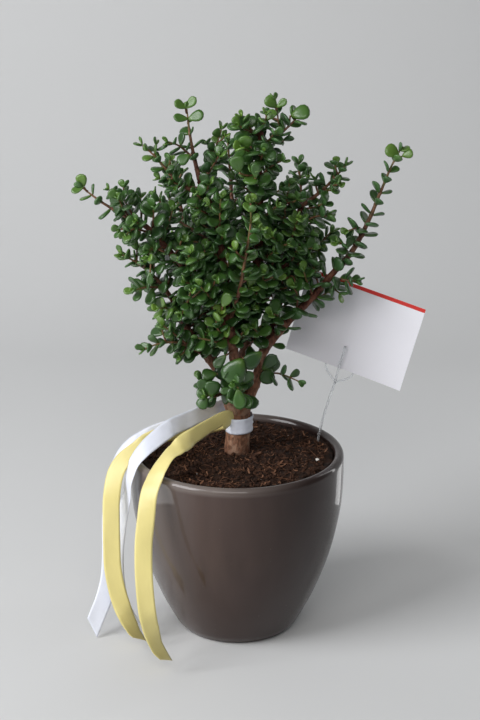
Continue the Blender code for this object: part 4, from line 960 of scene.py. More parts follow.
def stage_material(settings):
    """Matt and pale from the plant's side, and clear from behind, so that it never hides the plant."""
    material, tree, shader = new_material("stage", {"Roughness": 0.9, "Specular IOR Level": 0.2})
    behind = tree.nodes.new("ShaderNodeNewGeometry").outputs["Backfacing"]
    tree.links.new(work_out(tree, "SUBTRACT", 1.0, behind), shader.inputs["Alpha"])
    cloud, _ = mottle(tree, {"Size": 0.9, "Low": 0.2, "High": 0.8})
    base = blend_colour(tree, cloud, solid_colour(settings.floor), solid_colour(scaled(settings.floor, 0.97)))
    tree.links.new(base, shader.inputs["Base Color"])
    return material


# Pot


def pot_radius(height, rim):
    """The outer wall: a parabola that swells from the base and then stands upright."""
    rise = min(height / POT_BELLY_HEIGHT, 1)
    return POT_BASE_RADIUS + (rim - POT_BASE_RADIUS) * (1 - (1 - rise) ** 2)


def spread_heights(low, high, count):
    return [low + (high - low) * i / (count - 1) for i in range(count)]


def make_pot(settings):
    """A turned shell with a rounded lip and a softened foot."""
    height, rim, wall = settings.height, settings.radius, settings.wall
    shoulder = height - 0.0065
    foot = [(POT_BASE_RADIUS - 0.0035 + 0.0035 * sin(a), 0.0035 - 0.0035 * cos(a))
            for a in (0, pi / 10, pi / 5, 3 * pi / 10, 2 * pi / 5)]
    outer = [(pot_radius(z, rim), z) for z in spread_heights(0.005, shoulder, 40)]
    lip = []
    for step in range(1, 14):
        angle = pi * step / 14
        lip.append((rim - wall / 2 + wall / 2 * cos(angle),
                    shoulder + (height - shoulder) * sin(angle) ** 0.75))
    inner = [(pot_radius(z, rim) - wall, z) for z in spread_heights(shoulder, 0.020, 16)]
    floor = [(pot_radius(0.020, rim) - wall - 0.006, POT_FLOOR), (0, POT_FLOOR)]
    points, faces = turned([(0, 0)] + foot + outer + lip + inner + floor, settings.segments)
    for point in points:
        reach = Vector((point.x, point.y, 0))
        if reach.length > 0.03 and 0.004 < point.z < height - 0.0005:
            point += reach.normalized() * 0.00022 * noise.noise(point * 45)
    pot = add_mesh("pot_shell", points, faces)
    pot.data.materials.append(glaze_material(settings))
    return place(pot, "glaze", "pot")


# Soil


def soil_height(radius):
    full = SOIL_HIGH.x
    return SOIL_EDGE_HEIGHT + SOIL_DOME * (1 - (radius / full) ** 2)


def soil_relief(x, y):
    """Clods and hollows of the soil's surface, in metres."""
    place_at = Vector((x, y, 0))
    return 0.0022 * noise.noise(place_at * 90) + 0.0017 * noise.noise(place_at * 230 + Vector((5, 2, 1)))


def make_soil_bed(material):
    full = SOIL_HIGH.x
    side = [(pot_radius(z, POT_HIGH.x) - 0.0094, z)
            for z in spread_heights(0.020, SOIL_EDGE_HEIGHT - 0.004, 8)]
    top = [(full * (1 - i / 46), 0) for i in range(46)] + [(0, 0)]
    top = [(radius, soil_height(radius)) for radius, _ in top]
    points, faces = turned([(0, SOIL_LOW.z), (side[0][0] - 0.006, SOIL_LOW.z)] + side + top, 160)
    for point in points:
        if point.z > SOIL_EDGE_HEIGHT - 0.0035:
            point.z += soil_relief(point.x, point.y)
    bed = add_mesh("soil_bed", points, faces)
    point_values(bed.data, "tint", "FLOAT", [0.0] * len(bed.data.vertices))
    bed.data.materials.append(material)
    return place(bed, "soil", "soil")


def clod(chance, flatness=1.0, rings=4, sides=6):
    """One rough crumb about one metre across, to be scaled down."""
    profile = [(0, -0.5)]
    profile += [(0.5 * sin(pi * i / rings), -0.5 * cos(pi * i / rings)) for i in range(1, rings)]
    points, faces = turned(profile + [(0, 0.5)], sides)
    for point in points:
        point *= chance.uniform(0.72, 1.2)
        point.z *= flatness
    return add_mesh("clod", points, faces)


def fibre(chance, bend):
    """A coir fibre one metre long, curled, to be scaled down."""
    turn = chance.uniform(0, tau)
    knots = []
    for i in range(7):
        t = i / 6
        knots.append((t - 0.5, bend * sin(pi * t * 1.9 + turn) * 0.22, 0.16 * sin(pi * t * 1.4 + turn)))
    route = smooth_route(knots, 0.09)
    last = len(route) - 1
    radii = [0.020 * (1 - 0.75 * abs(2 * i / last - 1) ** 2) for i in range(last + 1)]
    return add_mesh("fibre", *tube(route, radii, 5))


def flake(chance):
    """A curled bark flake one metre long, to be scaled down."""
    points = []
    faces = []
    steps = 5
    width = chance.uniform(0.22, 0.42)
    curl = chance.uniform(0.3, 0.9)
    for i in range(steps + 1):
        t = i / steps
        middle = Vector((t - 0.5, 0.1 * sin(3 * t + curl), curl * 0.35 * (2 * t - 1) ** 2))
        half = width / 2 * (1 - 0.6 * abs(2 * t - 1) ** 1.5) * chance.uniform(0.8, 1.2)
        for side, lift in ((-1, 0.08), (1, 0.08)):
            for level in (-0.035, 0.035):
                points.append(middle + Vector((0, side * half, lift * curl + level)))
    faces.append((0, 2, 3, 1))
    for i in range(steps):
        a = 4 * i
        faces += [(a, a + 4, a + 6, a + 2), (a + 1, a + 3, a + 7, a + 5),
                  (a, a + 1, a + 5, a + 4), (a + 2, a + 6, a + 7, a + 3)]
    a = 4 * steps
    faces.append((a, a + 1, a + 3, a + 2))
    return add_mesh("flake", points, faces, smooth=False)


def soil_spots(chance, count, sizes, lift, tilt, tints, edge=0.0795, front=0.0):
    """Places on the soil, thinly under the trunk, each with a turn, a size and a tint."""
    spots = []
    while len(spots) < count:
        radius = edge * chance.random() ** 0.5
        angle = chance.uniform(0, tau)
        x, y = radius * cos(angle), radius * sin(angle)
        if radius < 0.0125 or chance.random() < front * (0.5 + y / edge / 2) * 0.9:
            continue
        size = sizes[0] + (sizes[1] - sizes[0]) * chance.random() ** 2.2
        turn = Euler((chance.uniform(-tilt, tilt), chance.uniform(-tilt, tilt), chance.uniform(0, tau)))
        z = soil_height(radius) + soil_relief(x, y) + lift * size
        spots.append((Vector((x, y, z)), turn.to_quaternion(), size, chance.uniform(*tints)))
    return spots


def make_soil(settings):
    peat = soil_material("peat", settings.dark, settings.light)
    make_soil_bed(peat)
    chance = random.Random(SEED)
    kinds = (
        ("soil_crumbs", [clod(chance) for _ in range(4)], peat,
         soil_spots(chance, settings.crumbs, (0.0009, settings.crumb), 0.25, pi, (0.0, 0.55))),
        ("soil_fibres", [fibre(chance, 0.5 + i) for i in range(4)],
         soil_material("coir", (0.030, 0.011, 0.006), (0.180, 0.080, 0.042), 0.8),
         soil_spots(chance, settings.fibres, (0.004, 0.013), 0.06, 0.45, (0.0, 1.0))),
        ("soil_flakes", [flake(chance) for _ in range(4)],
         soil_material("bark_flakes", (0.035, 0.014, 0.008), (0.270, 0.130, 0.072), 0.85),
         soil_spots(chance, settings.flakes, (0.0025, 0.0085), 0.10, 0.6, (0.0, 1.0), front=1.0)),
    )
    for number, (name, shapes, material, spots) in enumerate(kinds):
        made, holder = scatter(name, spots, shapes, SEED + number, 1.0, material)
        drop_shapes(holder)
        place(made, "soil")
    grit, tree, shader = new_material("perlite", {"Roughness": 0.9})
    base = blend_colour(tree, mottle(tree, {"Size": 0.002})[0], solid_colour((0.62, 0.55, 0.48)),
                        solid_colour((0.80, 0.76, 0.72)))
    tree.links.new(base, shader.inputs["Base Color"])
    grains = [(Vector((x, y, soil_height((x**2 + y**2) ** 0.5) + 0.0012)), Quaternion(),
               size, 0.5) for x, y, size in ((0.070, -0.018, 0.0036), (-0.034, -0.052, 0.0009),
                                             (0.020, -0.064, 0.0010), (0.046, 0.038, 0.0010))]
    made, holder = scatter("soil_perlite", grains, [clod(chance, 0.8, 6, 9)], SEED, 1.0, grit)
    drop_shapes(holder)
    place(made, "soil")


# Wood


def plan_limbs():
    """Each limb's route, from the axis of its parent, and its radii."""
    plans = {}
    for limb in LIMBS:
        points = limb.points
        if limb.parent:
            parent = plans[limb.parent][0]
            points = (along(parent, limb.at * route_length(parent))[0],) + points
        plans[limb.name] = (smooth_route(points, 0.0016), limb.radii)
    return plans


def knobbly(route, radii, chance, spacing):
    """Radii along a route with a swelling at each old leaf joint, and a little unevenness round it."""
    found = []
    phase = chance.uniform(0, spacing)
    shift = chance.uniform(0, 100)
    distance = 0
    for i, centre in enumerate(route):
        share = i / (len(route) - 1)
        base = radii[0] + (radii[1] - radii[0]) * share
        to_joint = abs((distance + phase) % spacing - spacing / 2)
        swell = 1 + 0.14 * max(0, 1 - to_joint / 0.0016)
        found.append(lambda angle, base=base, swell=swell, centre=centre: base * swell * (
            1 + 0.12 * noise.noise(centre * 60 + Vector((cos(angle), sin(angle), shift)) * 0.9)))
        if i + 1 < len(route):
            distance += (route[i + 1] - centre).length
    return found


def make_wood(settings, plans, material):
    """Trunk, limbs and the pruned stub, grown together into one surface."""
    chance = random.Random(SEED)
    trunk_route = smooth_route(TRUNK_ROUTE, 0.002)
    trunk_radii = []
    for point in trunk_route:
        after = next((i for i, knot in enumerate(TRUNK_ROUTE) if knot[2] >= point.z - 1e-6),
                     len(TRUNK_ROUTE) - 1)
        before = max(after - 1, 0)
        low, high = TRUNK_ROUTE[before][2], TRUNK_ROUTE[after][2]
        share = (point.z - low) / (high - low) if high > low else 1
        base = TRUNK_RADII[before] + (TRUNK_RADII[after] - TRUNK_RADII[before]) * share
        trunk_radii.append(lambda angle, base=base, z=point.z: base * (1 + 0.05 * noise.noise(
            Vector((cos(angle) * 1.3, sin(angle) * 1.3, z * 95)))))
    shapes = [tube(trunk_route, trunk_radii, 40)]
    for route, radii in plans.values():
        shapes.append(tube(route, knobbly(route, radii, chance, 0.0105), 16))
    stub = smooth_route(PRUNED_STUB, 0.002)
    shapes.append(tube(stub, knobbly(stub, (0.0046, 0.0040), chance, 0.0105), 16))
    wood = add_mesh("wood", *join_shapes(shapes))
    remesh = wood.modifiers.new("grown together", "REMESH")
    remesh.mode = "VOXEL"
    remesh.voxel_size = settings.voxel
    remesh.use_smooth_shade = True
    smooth = wood.modifiers.new("softened", "SMOOTH")
    smooth.factor = 0.5
    smooth.iterations = 4
    settle(wood)
    wood.data.materials.append(material)
    limb_nodes = ["limb_" + limb.name for limb in LIMBS]
    return place(wood, "bark", "trunk", *limb_nodes)


# Leafy shoots


def leaf_shape(number, thickness, aspect, cup, fold, tip):
    """A thick obovate leaf one metre long from its foot at the origin along +X, its upper face up."""
    sides = 14
    outline = []
    for i in range(sides):
        angle = tau * i / sides
        lengthways = 0.5 - 0.5 * cos(angle)
        wide = aspect / 2 * sin(angle) * (0.42 + 0.70 * lengthways)
        if i == sides // 2:
            lengthways += tip
        outline.append((lengthways, wide))
    centre = 0.60
    points = []
    under_flags = []
    rings = []

    def surface(x, y, lift):
        return Vector((x, y, lift + cup * 4 * (x - 0.5) ** 2 + fold * abs(y)))

    def ring(share, lift, under):
        rings.append(list(range(len(points), len(points) + sides)))
        for x, y in outline:
            here = (centre + (x - centre) * share, y * share)
            points.append(surface(*here, lift))
            under_flags.append(under)

    half = thickness / 2
    ring(0.55, half, 0)
    ring(0.88, half * 0.78, 0)
    ring(1.0, 0, 0)
    ring(0.85, -half * 0.80, 1)
    points.append(surface(centre, 0, half * 1.08))
    under_flags.append(0)
    points.append(surface(centre, 0, -half))
    under_flags.append(1)
    top, bottom = len(points) - 2, len(points) - 1
    faces = []
    for i in range(sides):
        after = (i + 1) % sides
        faces.append((top, rings[0][after], rings[0][i]))
        for inner, outer in zip(rings, rings[1:]):
            faces.append((inner[i], inner[after], outer[after], outer[i]))
        faces.append((bottom, rings[3][i], rings[3][after]))
    leaf = add_mesh(f"leaf_shape_{number}", points, faces)
    layer = leaf.data.uv_layers.new(name="leaf")
    for polygon in leaf.data.polygons:
        under = max(under_flags[corner] for corner in polygon.vertices)
        for loop in polygon.loop_indices:
            place_at = leaf.data.vertices[leaf.data.loops[loop].vertex_index].co
            layer.data[loop].uv = (place_at.y + 0.5 + 2 * under, place_at.x)
    return leaf


class Canopy:
    """Works out every leaf and twig. Leaves that would crowd another leaf or sit in the wood are left out."""

    CELL = 0.012

    def __init__(self, limb_plans):
        self.chance = random.Random(SEED)
        self.leaves = {limb.name: [] for limb in LIMBS}
        self.twigs = {limb.name: [] for limb in LIMBS}
        self.cells = {}
        self.wood = [(point, radii[0] + (radii[1] - radii[0]) * i / len(route))
                     for route, radii in limb_plans.values() for i, point in enumerate(route)]

    def cell(self, place_at):
        return tuple(int(part // self.CELL) for part in place_at)

    def near(self, place_at):
        x, y, z = self.cell(place_at)
        for i in (-1, 0, 1):
            for j in (-1, 0, 1):
                for k in (-1, 0, 1):
                    yield from self.cells.get((x + i, y + j, z + k), ())

    def free(self, middle, normal, size):
        for other, other_normal, other_size in self.near(middle):
            gap = middle - other
            apart = gap.length
            reach = (size + other_size) / 2
            if apart < 0.30 * reach:
                return False
            level = max(abs(gap.dot(normal)), abs(gap.dot(other_normal)))
            if apart < 0.72 * reach and level < 0.0011:
                return False
        return all((middle - point).length > radius + 0.24 * size for point, radius in self.wood)

    def add_leaf(self, limb, foot, outward, ahead, size, angle, tint, roll):
        reach = cos(angle) * ahead + sin(angle) * outward
        upper = sin(angle) * ahead - cos(angle) * outward
        away = Vector((foot.x, foot.y, 0)).normalized()
        upper = upper * 0.55 + UP * 0.40 + away * 0.60 + WINDOW_WAY * 0.22
        upper += Vector([self.chance.uniform(-0.35, 0.35) for _ in range(3)])
        upper = Quaternion(reach, roll) @ (upper - reach * upper.dot(reach)).normalized()
        middle = foot + reach * size * 0.58
        if not self.free(middle, upper, size):
            return
        self.cells.setdefault(self.cell(middle), []).append((middle, upper, size))
        turn = Matrix((reach, upper.cross(reach), upper)).transposed().to_quaternion()
        self.leaves[limb].append((foot, turn, size, tint))

    def add_shoot(self, limb, route, leaf, bare, thick, spacing, youth):
        """A twig along a route with its pairs of leaves."""
        full = route_length(route)
        ways = frames(route, Vector((0.6, -0.8, 0.1)))
        pairs = max(1, int((full - bare) / spacing) + 1)
        joints = [full - spacing * pair for pair in range(pairs)][::-1]
        first_turn = self.chance.uniform(-0.5, 0.5)
        for number, joint in enumerate(joints):
            place_at, ahead = along(route, joint)
            across, up, _ = ways[min(len(ways) - 1, round(joint / full * (len(ways) - 1)))]
            age = number / max(1, len(joints) - 1)
            radius = thick + (0.0006 - thick) * joint / full
            for side in range(2):
                angle = first_turn + number * pi / 2 + side * pi + self.chance.uniform(-0.22, 0.22)
                outward = (across * cos(angle) + up * sin(angle))
                outward = (outward - ahead * outward.dot(ahead)).normalized()
                last = number == len(joints) - 1
                size = LEAF_GROWTH * leaf * (1 - 0.26 * age**2) * self.chance.uniform(0.78, 1.08)
                size *= 0.85 if last else 1
                lean = (1.22 - 0.42 * age) * (0.62 if last else 1) + self.chance.uniform(-0.15, 0.15)
                tint = youth * 0.55 + 0.38 * age**2 + self.chance.uniform(-0.16, 0.16)
                self.add_leaf(limb, place_at + outward * radius * 0.7, outward, ahead, size, lean,
                              min(1, max(0, tint)), self.chance.uniform(-0.35, 0.35))
        self.add_bud(limb, *along(route, full), leaf, youth)
        self.twigs[limb].append((route, thick, joints))

    def add_pairs(self, limb, route, start, spacing, leaf):
        """Pairs of leaves straight on a limb, each pair turned a quarter from the last."""
        full = route_length(route)
        ways = frames(route)
        distance = start * full
        number = 0
        while distance < full:
            foot, ahead = along(route, distance)
            across, up, _ = ways[min(len(ways) - 1, round(distance / full * (len(ways) - 1)))]
            for side in range(2):
                angle = number * pi / 2 + side * pi + self.chance.uniform(-0.4, 0.4)
                outward = across * cos(angle) + up * sin(angle)
                size = LEAF_GROWTH * leaf * self.chance.uniform(0.80, 1.08)
                self.add_leaf(limb, foot + outward * 0.0028, outward, ahead, size,
                              self.chance.uniform(0.75, 1.25), self.chance.uniform(0.0, 0.5),
                              self.chance.uniform(-0.3, 0.3))
            distance += spacing
            number += 1

    def add_lone(self, limb, start, foot, tip, facing, tint):
        """A leaf at a chosen place, on a short twig of its own."""
        start, foot = Vector(start), Vector(foot)
        reach = Vector(tip) - foot
        size = reach.length
        reach = reach.normalized()
        upper = Vector(facing)
        upper = (upper - reach * upper.dot(reach)).normalized()
        middle = foot + reach * size * 0.58
        self.cells.setdefault(self.cell(middle), []).append((middle, upper, size))
        turn = Matrix((reach, upper.cross(reach), upper)).transposed().to_quaternion()
        self.leaves[limb].append((foot, turn, size, tint))
        route = smooth_route((start, (start + foot) / 2 - UP * 0.0008, foot), 0.003)
        self.twigs[limb].append((route, 0.0011, [route_length(route)]))

    def add_bud(self, limb, tip, ahead, leaf, youth):
        """The small new pair at a tip, nearly closed."""
        across = ahead.orthogonal().normalized()
        for side in (-1, 1):
            outward = Quaternion(ahead, self.chance.uniform(-0.4, 0.4)) @ (across * side)
            reach = (ahead + outward * 0.45).normalized()
            upper = (ahead * 0.45 - outward).normalized()
            upper = (upper - reach * upper.dot(reach)).normalized()
            turn = Matrix((reach, upper.cross(reach), upper)).transposed().to_quaternion()
            size = leaf * self.chance.uniform(0.34, 0.46)
            self.leaves[limb].append((tip, turn, size, min(1, 0.55 + 0.45 * youth)))

    def add_spur(self, limb, route, share, turn_number, size, leaf, youth):
        """A short side twig, at the next golden angle round its parent, leaning out and up."""
        full = route_length(route)
        start, ahead = along(route, share * full)
        across = ahead.orthogonal().normalized()
        outward = Quaternion(ahead, turn_number * GOLDEN_ANGLE + self.chance.uniform(-0.3, 0.3)) @ across
        lean = (outward + ahead * self.chance.uniform(0.25, 0.65) + UP * 0.25).normalized()
        end = start + lean * size
        middle = start + lean * size * 0.5 - UP * 0.0006 + outward * 0.0008
        spur = smooth_route((start, middle, end), 0.003)
        self.add_shoot(limb, spur, leaf, 0.0045, 0.0010, 0.0052, youth)


def grow_canopy(limb_plans):
    canopy = Canopy(limb_plans)
    chance = canopy.chance
    plans = {name: (route, name) for name, (route, _) in limb_plans.items()}
    for lone in LONE_LEAVES:
        canopy.add_lone(*lone)
    for shoot in SHOOTS:
        parent, limb = plans[shoot.parent]
        start = along(parent, shoot.at * route_length(parent))[0]
        route = smooth_route((start,) + shoot.points, 0.0025)
        plans[shoot.name] = (route, limb)
        canopy.add_shoot(limb, route, shoot.leaf, shoot.bare, shoot.thick, shoot.spacing, shoot.youth)
    for shoot in SHOOTS:
        route, limb = plans[shoot.name]
        for number in range(shoot.spurs):
            share = 0.30 + 0.58 * (number + 0.5) / shoot.spurs
            canopy.add_spur(limb, route, share, number, chance.uniform(0.008, 0.014),
                            shoot.leaf * chance.uniform(0.80, 0.98), shoot.youth)
    for limb in LIMBS:
        route = limb_plans[limb.name][0]
        if limb.pairs:
            canopy.add_pairs(limb.name, route, *limb.pairs)
        full = route_length(route)
        count = int(full * (1 - limb.leafy) / limb.twig)
        for number in range(count):
            share = limb.leafy + (1 - limb.leafy) * (number + 0.5) / count
            canopy.add_spur(limb.name, route, share, number, chance.uniform(0.012, 0.028),
                            chance.uniform(0.0115, 0.0145), chance.uniform(0.0, 0.5))
    return canopy


def make_twigs(name, twigs, material):
    """Every twig of a limb as one piece, thickened at each leaf joint."""
    points = []
    edges = []
    thickness = []
    youth = []
    for route, thick, joints in twigs:
        full = route_length(route)
        fine = (smooth_route([along(route, full * i / 8)[0] for i in range(9)], 0.0014)
                if full > 0.03 else route)
        distance = 0
        for i, point in enumerate(fine):
            if i:
                distance += (point - fine[i - 1]).length
                edges.append((len(points) - 1, len(points)))
            base = thick + (0.0006 - thick) * min(1, distance / full)
            nearest = min(abs(distance - joint) for joint in joints)
            points.append(point)
            thickness.append(base * (1 + 0.35 * max(0, 1 - nearest / 0.0011)))
            youth.append(min(1, max(0, (distance / full - 0.35) / 0.6)))
    made = add_mesh(name, points, [], edges)
    point_values(made.data, "thickness", "FLOAT", thickness)
    point_values(made.data, "youth", "FLOAT", youth)
    grow(made, shared_tree("Twigs", twig_tree), {"Sides": 8, "Material": material})
    return place(made, "bark")


def make_leaves(settings, canopy):
    material = leaf_material(settings)
    thick = settings.thickness / 0.010
    shapes = [leaf_shape(1, thick, 0.88, 0.04, 0.10, 0.02), leaf_shape(2, thick, 1.00, -0.05, 0.05, 0),
              leaf_shape(3, thick * 0.9, 0.76, 0.07, 0.16, 0.03),
              leaf_shape(4, thick * 1.1, 1.06, 0.02, -0.06, 0)]
    shoots_of = shoot_nodes()
    holder = None
    for number, limb in enumerate(LIMBS):
        spots = canopy.leaves[limb.name]
        made, holder = scatter("leaves_" + limb.name, spots, shapes, SEED + number, settings.scale, material)
        place(made, "leaf", *shoots_of[limb.name])
    drop_shapes(holder)


def shoot_nodes():
    """For each limb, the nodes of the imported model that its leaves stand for."""
    root = {limb.name: limb.name for limb in LIMBS}
    found = {limb.name: [] for limb in LIMBS}
    for shoot in SHOOTS:
        root[shoot.name] = root[shoot.parent]
        node = "shoot_" + shoot.name
        if node in frame["nodes"]:
            found[root[shoot.name]].append(node)
    return found


# Ribbons


def spread_widths(route, knots, widths):
    """The way that the ribbon's width points at each point of its route, turned evenly between the knots."""
    nearest = [min(range(len(route)), key=lambda i: (route[i] - Vector(knot)).length) for knot in knots]
    spread = []
    for number, (first, last) in enumerate(zip(nearest, nearest[1:])):
        for i in range(first, last):
            share = (i - first) / (last - first)
            share = share * share * (3 - 2 * share)
            spread.append(Vector(widths[number]).lerp(Vector(widths[number + 1]), share))
    return spread + [Vector(widths[-1])]


def strip(name, rows, widths, material, thickness):
    """A thin strip through rows of points, with a UV map in metres, given its thickness."""
    count = len(rows[0])
    points = [point for row in rows for point in row]
    faces = []
    for row in range(len(rows) - 1):
        for column in range(count - 1):
            a = row * count + column
            faces.append((a, a + 1, a + count + 1, a + count))
    made = add_mesh(name, points, faces)
    layer = made.data.uv_layers.new(name="ribbon")
    lengths = [0]
    for before, after in zip(rows, rows[1:]):
        lengths.append(lengths[-1] + (after[count // 2] - before[count // 2]).length)
    for loop in made.data.loops:
        row, column = divmod(loop.vertex_index, count)
        layer.data[loop.index].uv = (widths * column / (count - 1), lengths[row])
    made.data.materials.append(material)
    solid = made.modifiers.new("thickness", "SOLIDIFY")
    solid.thickness = thickness
    solid.offset = 0
    settle(made)
    return made, lengths[-1]


def make_ribbon(node, finish, settings, material, knots, widths, phase):
    """A satin tail: it curls a little across, waves a little along, and ends in a slanted cut."""
    middle = Vector((*BAND_MIDDLE, 0))
    way = Vector((knots[0][0], knots[0][1], 0)) - middle
    tucked = middle + way.normalized() * 0.0112 + UP * (BAND_LOW.z + settings.width / 2 + 0.001)
    knots = (tuple(tucked),) + knots
    widths = widths[:1] + widths
    route = smooth_route(knots, 0.0022)
    spread = spread_widths(route, knots, widths)
    columns = 9
    rows = []
    last = len(route) - 1
    for i, centre in enumerate(route):
        ahead = (route[min(i + 1, last)] - route[max(i - 1, 0)]).normalized()
        wide = (spread[i] - ahead * spread[i].dot(ahead)).normalized()
        out = ahead.cross(wide).normalized()
        slant = 0.0065 * max(0, (i - last * 0.9) / (last * 0.1))
        row = []
        for column in range(columns):
            side = 2 * column / (columns - 1) - 1
            curl = (0.00035 * (1 - side**2) * sin(0.11 * i + phase)
                    + 0.00015 * side * sin(0.17 * i + phase * 2))
            row.append(centre + wide * side * settings.width / 2 + out * curl + ahead * slant * side)
        rows.append(row)
    made, cut = strip(node + "_tail", rows, settings.width, material, settings.thickness)
    place(made, finish, node)
    return made


def make_band(settings, material):
    """The white ribbon wound a little over once round the trunk, pulled tight, with small creases."""
    turns = 1.12
    steps = 120
    columns = 11
    low = BAND_LOW.z + 0.0004
    rows = []
    for i in range(steps + 1):
        angle = -0.25 * pi + tau * turns * i / steps
        layer = 0.00055 * max(0, (i / steps * turns - 0.9)) / 0.1
        row = []
        for column in range(columns):
            share = column / (columns - 1)
            crease = 0.00035 * noise.noise(Vector((3 * cos(angle), 3 * sin(angle), share * 9)))
            pleat = 0.00045 * max(0, cos(angle + 0.35)) ** 8 * sin(share * 16)
            radius = 0.01150 + min(0.0007, layer) + crease + pleat + 0.0006 * share**2
            tilt = 0.0008 * sin(angle + 0.6)
            row.append(Vector((BAND_MIDDLE[0] + radius * cos(angle), BAND_MIDDLE[1] + radius * sin(angle),
                               low + share * (settings.width - 0.0008) + tilt)))
        rows.append(row)
    band, cut = strip("ribbon_white_wrap", rows, settings.width, material, settings.thickness)
    place(band, "ribbon_white", "ribbon_white_band")


# Card and pick


def card_corner(x, y, z):
    """A place on the card, in its own directions, in the plant's frame."""
    turn = Euler(CARD_ANGLES, "YXZ").to_matrix()
    return Vector(CARD_CENTRE) + turn @ Vector((x, y, z))


def make_card(settings):
    """A thin card, bent a little, with a UV map in metres: X below zero on its back and edges."""
    width, thickness, height = CARD_SIZE
    columns, rows = 28, 20
    points = []
    for depth in (-thickness / 2, thickness / 2):
        for row in range(rows + 1):
            for column in range(columns + 1):
                x = (column / columns - 0.5) * width
                z = (row / rows - 0.5) * height
                bend = settings.bend * ((2 * x / width) ** 2 - 0.5) + 0.0004 * sin(30 * x + 50 * z)
                points.append(card_corner(x, depth - bend, z))
    layer_size = (rows + 1) * (columns + 1)
    faces = []
    for row in range(rows):
        for column in range(columns):
            a = row * (columns + 1) + column
            b = a + columns + 1
            faces.append((a, a + 1, b + 1, b))
            faces.append((a + layer_size, b + layer_size, b + layer_size + 1, a + layer_size + 1))
    around = list(range(columns))
    around += [row * (columns + 1) + columns for row in range(rows)]
    around += [rows * (columns + 1) + column for column in range(columns, 0, -1)]
    around += [row * (columns + 1) for row in range(rows, 0, -1)]
    for a, b in zip(around, around[1:] + around[:1]):
        faces.append((b, a, a + layer_size, b + layer_size))
    card = add_mesh("message_card", points, faces)
    layer = card.data.uv_layers.new(name="card")
    for polygon in card.data.polygons:
        front = all(corner < layer_size for corner in polygon.vertices)
        for loop in polygon.loop_indices:
            spot = card.data.loops[loop].vertex_index % layer_size
            row, column = divmod(spot, columns + 1)
            across = 0.001 + width * column / columns
            layer.data[loop].uv = (across if front else -across, height * row / rows)
    card.data.set_sharp_from_angle(angle=radians(50))
    card.data.materials.append(card_material(settings))
    return place(card, "card", "card")


def make_pick(settings):
    """A stem that parts into two arms behind the card and a tab in front of it."""
    low = -CARD_SIZE[2] / 2
    radius = settings.pick_radius
    beside = CARD_SIZE[1] / 2 + 0.0012 + radius
    fork = card_corner(PICK_OFFSET, 0, low - 0.0125)
    stem = smooth_route(PICK_ROUTE + (fork,), 0.004)
    pick = add_mesh("clear_pick", *tube(stem, [radius] * len(stem), 16))
    inside = fork - UP * 0.001
    helpers = []
    for aside, depth, rise in ((-0.0135, beside, 0.014), (0.0135, beside, 0.014), (0, -beside, 0.022)):
        knots = (inside, card_corner(PICK_OFFSET + aside * 0.8, depth * 0.7, low - 0.006),
                 card_corner(PICK_OFFSET + aside, depth, low + 0.001),
                 card_corner(PICK_OFFSET + aside, depth, low + rise))
        route = smooth_route(knots, 0.003)
        helpers.append(add_mesh("prong", *tube(route, [radius * 0.9] * len(route), 16)))
        union = pick.modifiers.new("prong", "BOOLEAN")
        union.operation = "UNION"
        union.object = helpers[-1]
    settle(pick)
    for helper in helpers:
        bpy.data.objects.remove(helper)
    pick.data.materials.append(clear_material())
    pick.data.shade_smooth()
    return place(pick, "clear_plastic", "card_pick")


# Stage


def make_stage(settings):
    """A pale floor that sweeps up into a backdrop."""
    depth, rise, bend = 0.75, 3.0, 0.6
    profile = [(-3.0, 0), (-1.0, 0), (0, 0)]
    profile += [(depth + bend * sin(pi / 2 * i / 16), bend - bend * cos(pi / 2 * i / 16)) for i in range(17)]
    profile.append((depth + bend, rise))
    points = []
    for y, z in profile:
        points += [Vector((-4, y, z - 0.0002)), Vector((4, y, z - 0.0002))]
    faces = [(a, a + 1, a + 3, a + 2) for a in range(0, len(points) - 2, 2)]
    floor = add_mesh("floor", points, faces)
    floor.data.materials.append(stage_material(settings))


def add_area(name, location, target, size, power, tone):
    light = bpy.data.lights.new(name, "AREA")
    light.shape = "RECTANGLE"
    light.size, light.size_y = size
    light.energy = power
    light.color = tone
    made = bpy.data.objects.new(name, light)
    made.location = location
    made.rotation_euler = (Vector(target) - Vector(location)).to_track_quat("-Z", "Y").to_euler()
    bpy.context.scene.collection.objects.link(made)
    return made


def make_lights(settings):
    """A large window to the left, a weak fill, and a room that is darker in reflections."""
    add_area("window", (-1.6, -0.9, 1.3), (0, 0, 0.28), (1.2, 1.5), settings.key_power, (0.97, 0.98, 1.0))
    add_area("front_fill", (-0.3, -2.2, 1.9), (0, 0, 0.2), (1.6, 1.0), 18, (1.0, 0.98, 0.95))
    add_area("side_strip", (0.85, 0.42, 0.45), (0.05, 0, 0.2), (0.10, 0.9), settings.strip_power, (1, 1, 1))
    for name, location, target, size, power in (
            ("glow_left", (-0.36, -0.10, 0.07), (-0.05, -0.08, 0.10), (0.22, 0.13), settings.glow_power),
            ("glow_right", (0.24, 0.17, 0.045), (0.09, -0.02, 0.10), (0.07, 0.08), settings.glow_power / 8)):
        glow = add_area(name, location, target, size, power, (1, 1, 1))
        glow.visible_camera = glow.visible_diffuse = glow.visible_transmission = False
    world = bpy.data.worlds.new("room")
    world.use_nodes = True
    tree = world.node_tree
    back = tree.nodes["Background"]
    back.inputs["Color"].default_value = (0.86, 0.90, 0.95, 1)
    glossy = tree.nodes.new("ShaderNodeLightPath").outputs["Is Glossy Ray"]
    tree.links.new(between(tree, glossy, 0, 1, 0.22, 0.06), back.inputs["Strength"])
    bpy.context.scene.world = world
    bpy.context.scene.view_settings.view_transform = "Standard"


